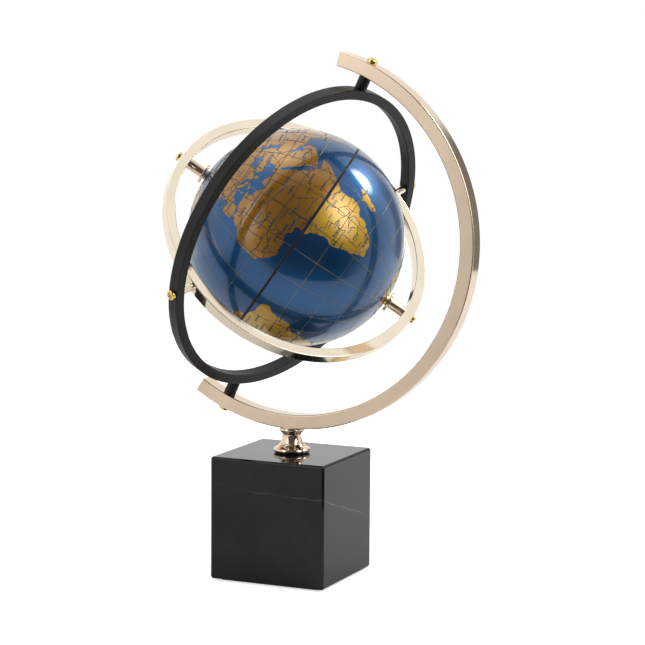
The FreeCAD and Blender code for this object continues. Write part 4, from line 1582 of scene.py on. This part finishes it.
    def skin_mesh(self, half: Half, wall: float = 0.3 * MM) -> bpy.types.Mesh:
        """Build a half's sea skin as a closed shell with its hole at the pole."""
        lowest, highest = math.radians(self.seam), math.radians(90 - self.hole)
        outer = [lowest + (highest - lowest) * i / self.skin_steps
                 for i in range(self.skin_steps + 1)]
        profile = [(self.radius * math.cos(a), self.radius * math.sin(a)) for a in outer]
        inner = self.radius - wall
        profile += [(inner * math.cos(a), inner * math.sin(a)) for a in outer[::-4]]
        toward, _, pole = self.axes
        place = basis(self.centre, half.sign * pole, toward)
        return lathe(profile, place, self.skin_flats, closed=True)

    def edge_mesh(self, lines: Iterable[Sequence[Point2]], height: float) -> bpy.types.Mesh:
        """Lay lines of longitudes and latitudes over the ball as loose edges."""
        points: list[Vector] = []
        edges: list[tuple[int, int]] = []
        for line in lines:
            start = len(points)
            points += [self.spot(place, height) for place in line]
            edges += [(i, i + 1) for i in range(start, len(points) - 1)]
        mesh = bpy.data.meshes.new("lines")
        mesh.from_pydata(points, edges, [])
        return mesh

    def split(self, lines: Iterable[Sequence[Point2]]) -> tuple[list, list]:
        """Cut lines where they cross a coast.

        Args:
            lines: Lines of longitudes and latitudes.

        Returns:
            The runs over the sea, and the runs over land.
        """
        runs: tuple[list, list] = ([], [])
        for line in lines:
            for a, b in zip(line, line[1:]):
                middle = ((a[0] + b[0]) / 2, (a[1] + b[1]) / 2)
                half = self.halves[0] if middle[1] > 0 else self.halves[1]
                land = bool(self.on_land(half, half.flat([middle]))[0])
                group = runs[1] if land else runs[0]
                if group and group[-1][-1] == a:
                    group[-1].append(b)
                else:
                    group.append([a, b])
        return runs

    def grid_lines(self) -> list[list[Point2]]:
        """Meridians and parallels, without the equator and clear of the poles."""
        top = 90.0 - self.hole - self.pole_clear
        heights = np.arange(2.0 * self.seam, top, self.step).tolist()
        lines = [[(float(turn), sign * height) for height in heights]
                 for turn in range(0, 360, self.spacing) for sign in (1, -1)]
        around = np.arange(0, 360 + self.step, self.step).tolist()
        lines += [[(turn, float(height)) for turn in around]
                  for height in range(-75, 90, self.spacing) if height != 0]
        return lines

    def label_mesh(self) -> bpy.types.Mesh:
        """A short row of plain bars that stands where a place's name would be."""
        work = bmesh.new()
        bars = ((0.95, 1.3), (0.65, 0.9), (1.0, 1.3), (0.6, 1.0), (0.9, 1.2))
        for index, (width, height) in enumerate(bars):
            box = bmesh.ops.create_cube(work, size=1.0)["verts"]
            bmesh.ops.scale(work, vec=(width * MM, height * MM, self.label_depth), verts=box)
            bmesh.ops.translate(work, vec=((index - 2) * self.label_pitch, 0, 0.0), verts=box)
        return written(work, "label")

    def build(self, shop: Workshop) -> None:
        """Build and dress the printed ball."""
        self.measure(shop.gimbal)
        self.lay_out(self.halves)
        label = link("label_pattern", self.label_mesh())
        place = {"Centre": self.centre, "Thickness": self.thickness}
        for half in self.halves:
            shop.place(half.name + "_sea", self.skin_mesh(half), "globe", "map_ocean",
                       half.name + "_map_skin")
            land = self.land_mesh(half)
            marks = shop.mark.bake(land.copy(), Part=label, Pole=self.axes[2],
                                   Centre=self.centre, Gap=self.name_gap, Density=self.name_density,
                                   Seed=self.seed + half.sign)
            # Each half takes its own copy of the land ink: darker on the north as painted shade,
            # brighter on the south as painted light
            shop.place(half.name + "_land", land, "globe", "map_land",
                       finish=half.name + "_land")
            shop.place(half.name + "_names", marks, "globe", "map_lines", finish="map_names")
        bpy.data.objects.remove(label)
        over_sea, over_land = self.split(self.grid_lines())
        lines = {"sea_grid": (over_sea, self.sea_line, "map_grid"),
                 "land_grid": (over_land, self.land_line, "map_lines")}
        borders = self.split(self.borders)[1]
        lines["land_borders"] = (borders, self.land_line, "map_lines")
        around = np.arange(0, 360 + self.step, self.step).tolist()
        shift = self.seam + math.degrees(0.5 * self.seam_line / self.radius)
        rims = [[(turn, sign * shift) for turn in around] for sign in (1, -1)]
        lines["seam_lines"] = (rims, self.seam_line, "map_lines")
        for name, (runs, width, finish) in lines.items():
            mesh = shop.line.bake(self.edge_mesh(runs, self.raise_line), Line_Width=width,
                                  **place)
            shop.place(name, mesh, "globe", "map_lines", finish=finish)
        shop.dress("abs_inner", "north_hemisphere", "south_hemisphere", "north_pole_hub",
                   "south_pole_hub", "joint_ring")


# ------------------------------------------------------------------ studio
@dataclass(frozen=True)
class Softbox:
    """A rectangular soft light.

    Attributes:
        name: Its name.
        place: Where it hangs.
        size: Its width and height.
        power: Its power in watts.
    """

    name: str
    place: tuple[float, float, float]
    size: Point2
    power: float


@dataclass
class Studio:
    """The pale floor, the soft lights and the camera.

    Attributes:
        azimuth: How far the camera stands round from the front, in degrees.
        elevation: How far it looks down.
        roll: How far it leans.
        distance: From the camera to the middle of its view.
        height: Height of the middle of its view.
        aside: How far that middle lies to the right.
        lens: Focal length, in millimetres.
        sensor: Width of the sensor, in millimetres.
        floor_cut: Direction square to the cut across the floor's corner.
        floor_reach: Distance of that cut from the origin, along floor_cut.
        floor_size: Half the floor's side.
        floor_glow: How strongly the floor shows white to the camera.
        room_way: Direction towards which the room is dim.
        room_fade: Cosines from room_way between which the room dims.
        room_low: How bright the room's dim part is.
        band_way: Direction to the right, which the dim band lies round.
        band_middle: Cosine from band_way at the band's middle.
        band_fade: Steps of that cosine at which the band ends and the full room starts.
        band_low: How bright the band is.
        band_top: Upward parts of a direction between which the band gives way to the room.
        lamp_aim: The point that every soft light faces.
        lamp_fade: Where a soft light fades, from its middle, as shares of its side.
        lamps: The soft lights.
    """

    azimuth: float = 24.09
    elevation: float = 7.11
    roll: float = 0.42
    distance: float = 1.90096
    height: float = 0.20745
    aside: float = 0.02423
    lens: float = 131.34
    sensor: float = 36.0
    floor_cut: tuple[float, float, float] = (0.75, -0.66, 0.0)
    floor_reach: float = 0.38
    floor_size: float = 1.3
    floor_glow: float = 0.62
    room_way: tuple[float, float, float] = (0.66, -0.74, 0.14)
    room_fade: Point2 = (0.36, 0.62)
    room_low: float = 0.10
    band_way: tuple[float, float, float] = (0.913, 0.408, 0.0)
    band_middle: float = 0.64
    band_fade: Point2 = (0.08, 0.17)
    band_low: float = 0.22
    band_top: Point2 = (0.28, 0.48)
    lamp_aim: tuple[float, float, float] = (0.0, 0.0, 0.25)
    lamp_fade: Point2 = (0.12, 0.5)
    lamps: tuple[Softbox, ...] = (
        Softbox("key", (1.70, -0.35, 1.15), (1.3, 2.0), 46.0),
        Softbox("rim", (1.08, 1.04, 1.48), (0.75, 0.75), 50.0),
        Softbox("left", (-0.85, -1.75, 0.98), (0.9, 1.8), 12.0),
        Softbox("top", (-0.45, 0.2, 2.2), (1.4, 1.6), 12.0))

    def camera(self) -> None:
        """Place the camera."""
        turn, dip, lean = (math.radians(a) for a in (self.azimuth, self.elevation, self.roll))
        back = Vector((math.sin(turn) * math.cos(dip), -math.cos(turn) * math.cos(dip),
                       math.sin(dip)))
        right = Vector((math.cos(turn), math.sin(turn), 0.0))
        rise = back.cross(right)
        across = math.cos(lean) * right + math.sin(lean) * rise
        upward = -math.sin(lean) * right + math.cos(lean) * rise
        target = Vector((0, 0, self.height)) + self.aside * right
        view = bpy.data.objects.new("camera", bpy.data.cameras.new("camera"))
        view.data.sensor_width = self.sensor
        view.data.lens = self.lens
        view.data.clip_start = 0.01
        turned = Matrix((across, upward, back)).transposed().to_4x4()
        view.matrix_world = Matrix.Translation(target + self.distance * back) @ turned
        bpy.context.scene.collection.objects.link(view)
        bpy.context.scene.camera = view

    def softbox(self, box: Softbox) -> None:
        """Hang a soft light."""
        lamp = bpy.data.lights.new(box.name, "AREA")
        lamp.shape = "RECTANGLE"
        lamp.size, lamp.size_y = box.size
        lamp.energy = box.power
        lamp.use_nodes = True
        graph = NodeGraph(lamp.node_tree)
        across = graph.add("ShaderNodeNewGeometry").outputs["Parametric"]
        from_middle = graph.vector("DISTANCE", across, (0.5, 0.5, 0.0), out=1)
        graph.feed(lamp.node_tree.nodes["Emission"].inputs["Strength"],
                   graph.spread(from_middle, 1.0, 0.0, *self.lamp_fade))
        holder = bpy.data.objects.new(box.name, lamp)
        way = Vector(box.place) - Vector(self.lamp_aim)
        turn = way.to_track_quat("Z", "Y").to_matrix().to_4x4()
        holder.matrix_world = Matrix.Translation(box.place) @ turn
        bpy.context.scene.collection.objects.link(holder)

    def world(self) -> None:
        """Surround the scene with white, dim towards the front and in a low band at the right."""
        world = bpy.data.worlds.new("studio")
        world.use_nodes = True
        bpy.context.scene.world = world
        graph = NodeGraph(world.node_tree)
        way = graph.add("ShaderNodeTexCoord").outputs["Generated"]
        room = graph.vector("DOT_PRODUCT", way, self.room_way, out=1)
        level = graph.spread(room, 1.0, self.room_low, *self.room_fade)
        aside = graph.vector("DOT_PRODUCT", way, self.band_way, out=1)
        band = graph.math("ABSOLUTE", graph.math("SUBTRACT", aside, self.band_middle))
        parts = graph.add("ShaderNodeSeparateXYZ", {0: way})
        high = graph.spread(parts.outputs["Z"], 0.0, 1.0, *self.band_top)
        dim = graph.math("MAXIMUM", graph.spread(band, self.band_low, 1.0, *self.band_fade),
                         high)
        level = graph.math("MULTIPLY", level, dim)
        seen = graph.add("ShaderNodeLightPath").outputs["Is Camera Ray"]
        background = world.node_tree.nodes["Background"]
        graph.feed(background.inputs["Color"],
                   graph.mix(seen, graph.mix(level, (0, 0, 0), (1, 1, 1)),
                             (1, 1, 1)))
        background.inputs["Strength"].default_value = 1.0

    def floor(self) -> None:
        """Lay the pale floor under the pad, with its front right corner cut off."""
        work = bmesh.new()
        bmesh.ops.create_grid(work, x_segments=8, y_segments=8, size=self.floor_size)
        across = Vector(self.floor_cut)
        bmesh.ops.bisect_plane(work, geom=work.verts[:] + work.edges[:] + work.faces[:],
                               plane_co=across * self.floor_reach, plane_no=across,
                               clear_outer=True)
        mesh = written(work, "floor")
        made = Surface("floor_paint")
        graph = made.graph
        mottle = graph.noise(made.place, 3.0, 2.0)
        seen = graph.add("ShaderNodeLightPath").outputs["Is Camera Ray"]
        made.set(Base_Color=graph.mix(mottle, (0.70, 0.70, 0.70),
                                      (0.74, 0.74, 0.74)), Roughness=0.9,
                 Emission_Color=(1.0, 1.0, 1.0),
                 Emission_Strength=graph.math("MULTIPLY", seen, self.floor_glow))
        mesh.materials.append(made.material)
        link("floor", mesh)

    def build(self) -> None:
        """Set the whole studio up."""
        self.camera()
        self.world()
        self.floor()
        for box in self.lamps:
            self.softbox(box)
        bpy.context.scene.view_settings.view_transform = "Standard"


def finishes(gimbal: Gimbal) -> dict[str, bpy.types.Material]:
    """Make every finish.

    Args:
        gimbal: The globe's centre and axes.

    Returns:
        The materials, by the name of their slot or their own.
    """
    rose, champagne = (0.80, 0.635, 0.475), (0.90, 0.79, 0.63)
    kinds = {
        "felt": Felt("felt", (0.012, 0.012, 0.012)),
        "marble": PolishedMarble("marble", (0.0048, 0.0058, 0.0056), (0.30, 0.29, 0.27),
                                 (0.064, 0.299, 0.952), 58.1 * MM, 0.45 * MM, -8 * MM),
        "zinc_steel": PlatedMetal("zinc_steel", (0.62, 0.63, 0.64), 0.28),
        "gasket_rubber": PlainPlastic("gasket_rubber", (0.02, 0.02, 0.02), 0.6),
        "rose_gold_polished": PlatedMetal("rose_gold_polished", rose, 0.07),
        "rose_gold_satin": PlatedMetal("rose_gold_satin", rose, 0.09, 0.34, Grain.SATIN_FACE,
                                       tuple(gimbal.centre)),
        "champagne_polished": PlatedMetal("champagne_polished", champagne, 0.08),
        "black_coat": PowderCoat("black_coat", (0.010, 0.011, 0.0105)),
        "brass": PlatedMetal("brass", (0.86, 0.62, 0.20), 0.14),
        "nylon_black": PlainPlastic("nylon_black", (0.015, 0.015, 0.015), 0.4),
        "nylon_clear": PlainPlastic("nylon_clear", (0.75, 0.78, 0.8), 0.18, 0.5),
        "abs_inner": PlainPlastic("abs_inner", (0.016, 0.018, 0.024), 0.6),
        "map_ocean": LacquerPrint("map_ocean", (0.007, 0.060, 0.170), (0.011, 0.088, 0.235),
                                  0.88, 0.37, 0.8),
        # One land ink in two brightnesses: the north half's darker copy is painted shade, and the
        # south half's brighter copy is painted light from the right
        "north_land": LacquerPrint("north_land", (0.29, 0.135, 0.010), (0.36, 0.17, 0.016)),
        "south_land": LacquerPrint("south_land", (0.48, 0.28, 0.022), (0.56, 0.34, 0.034)),
        "map_lines": LacquerPrint("map_lines", (0.006, 0.010, 0.022), (0.009, 0.014, 0.03), 0.3,
                                  0.42, 0.15),
        "map_names": LacquerPrint("map_names", (0.012, 0.03, 0.07), (0.015, 0.04, 0.09), 0.3),
        "map_grid": LacquerPrint("map_grid", (0.18, 0.155, 0.025), (0.22, 0.185, 0.03)),
    }
    return {name: kind.build() for name, kind in kinds.items()}


def main() -> None:
    """Build every sub-assembly in order."""
    logging.basicConfig(level=logging.INFO, format="%(message)s")
    gimbal = Gimbal.from_joints(frame["joints"])
    shop = Workshop(gimbal, finishes(gimbal))
    parts = (StoneBase(), Neck(), Arm(),
             TurningRing(RingKind.OUTER, "outer_ring_frame", "black_coat", 0.8 * MM),
             TurningRing(RingKind.INNER, "inner_ring_frame", "champagne_polished", 0.6 * MM),
             Hardware(), MapBall())
    for part in parts:
        LOG.info("building %s", type(part).__name__)
        part.build(shop)
    Studio().build()


if __name__ == "__main__":
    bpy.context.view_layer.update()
    main()
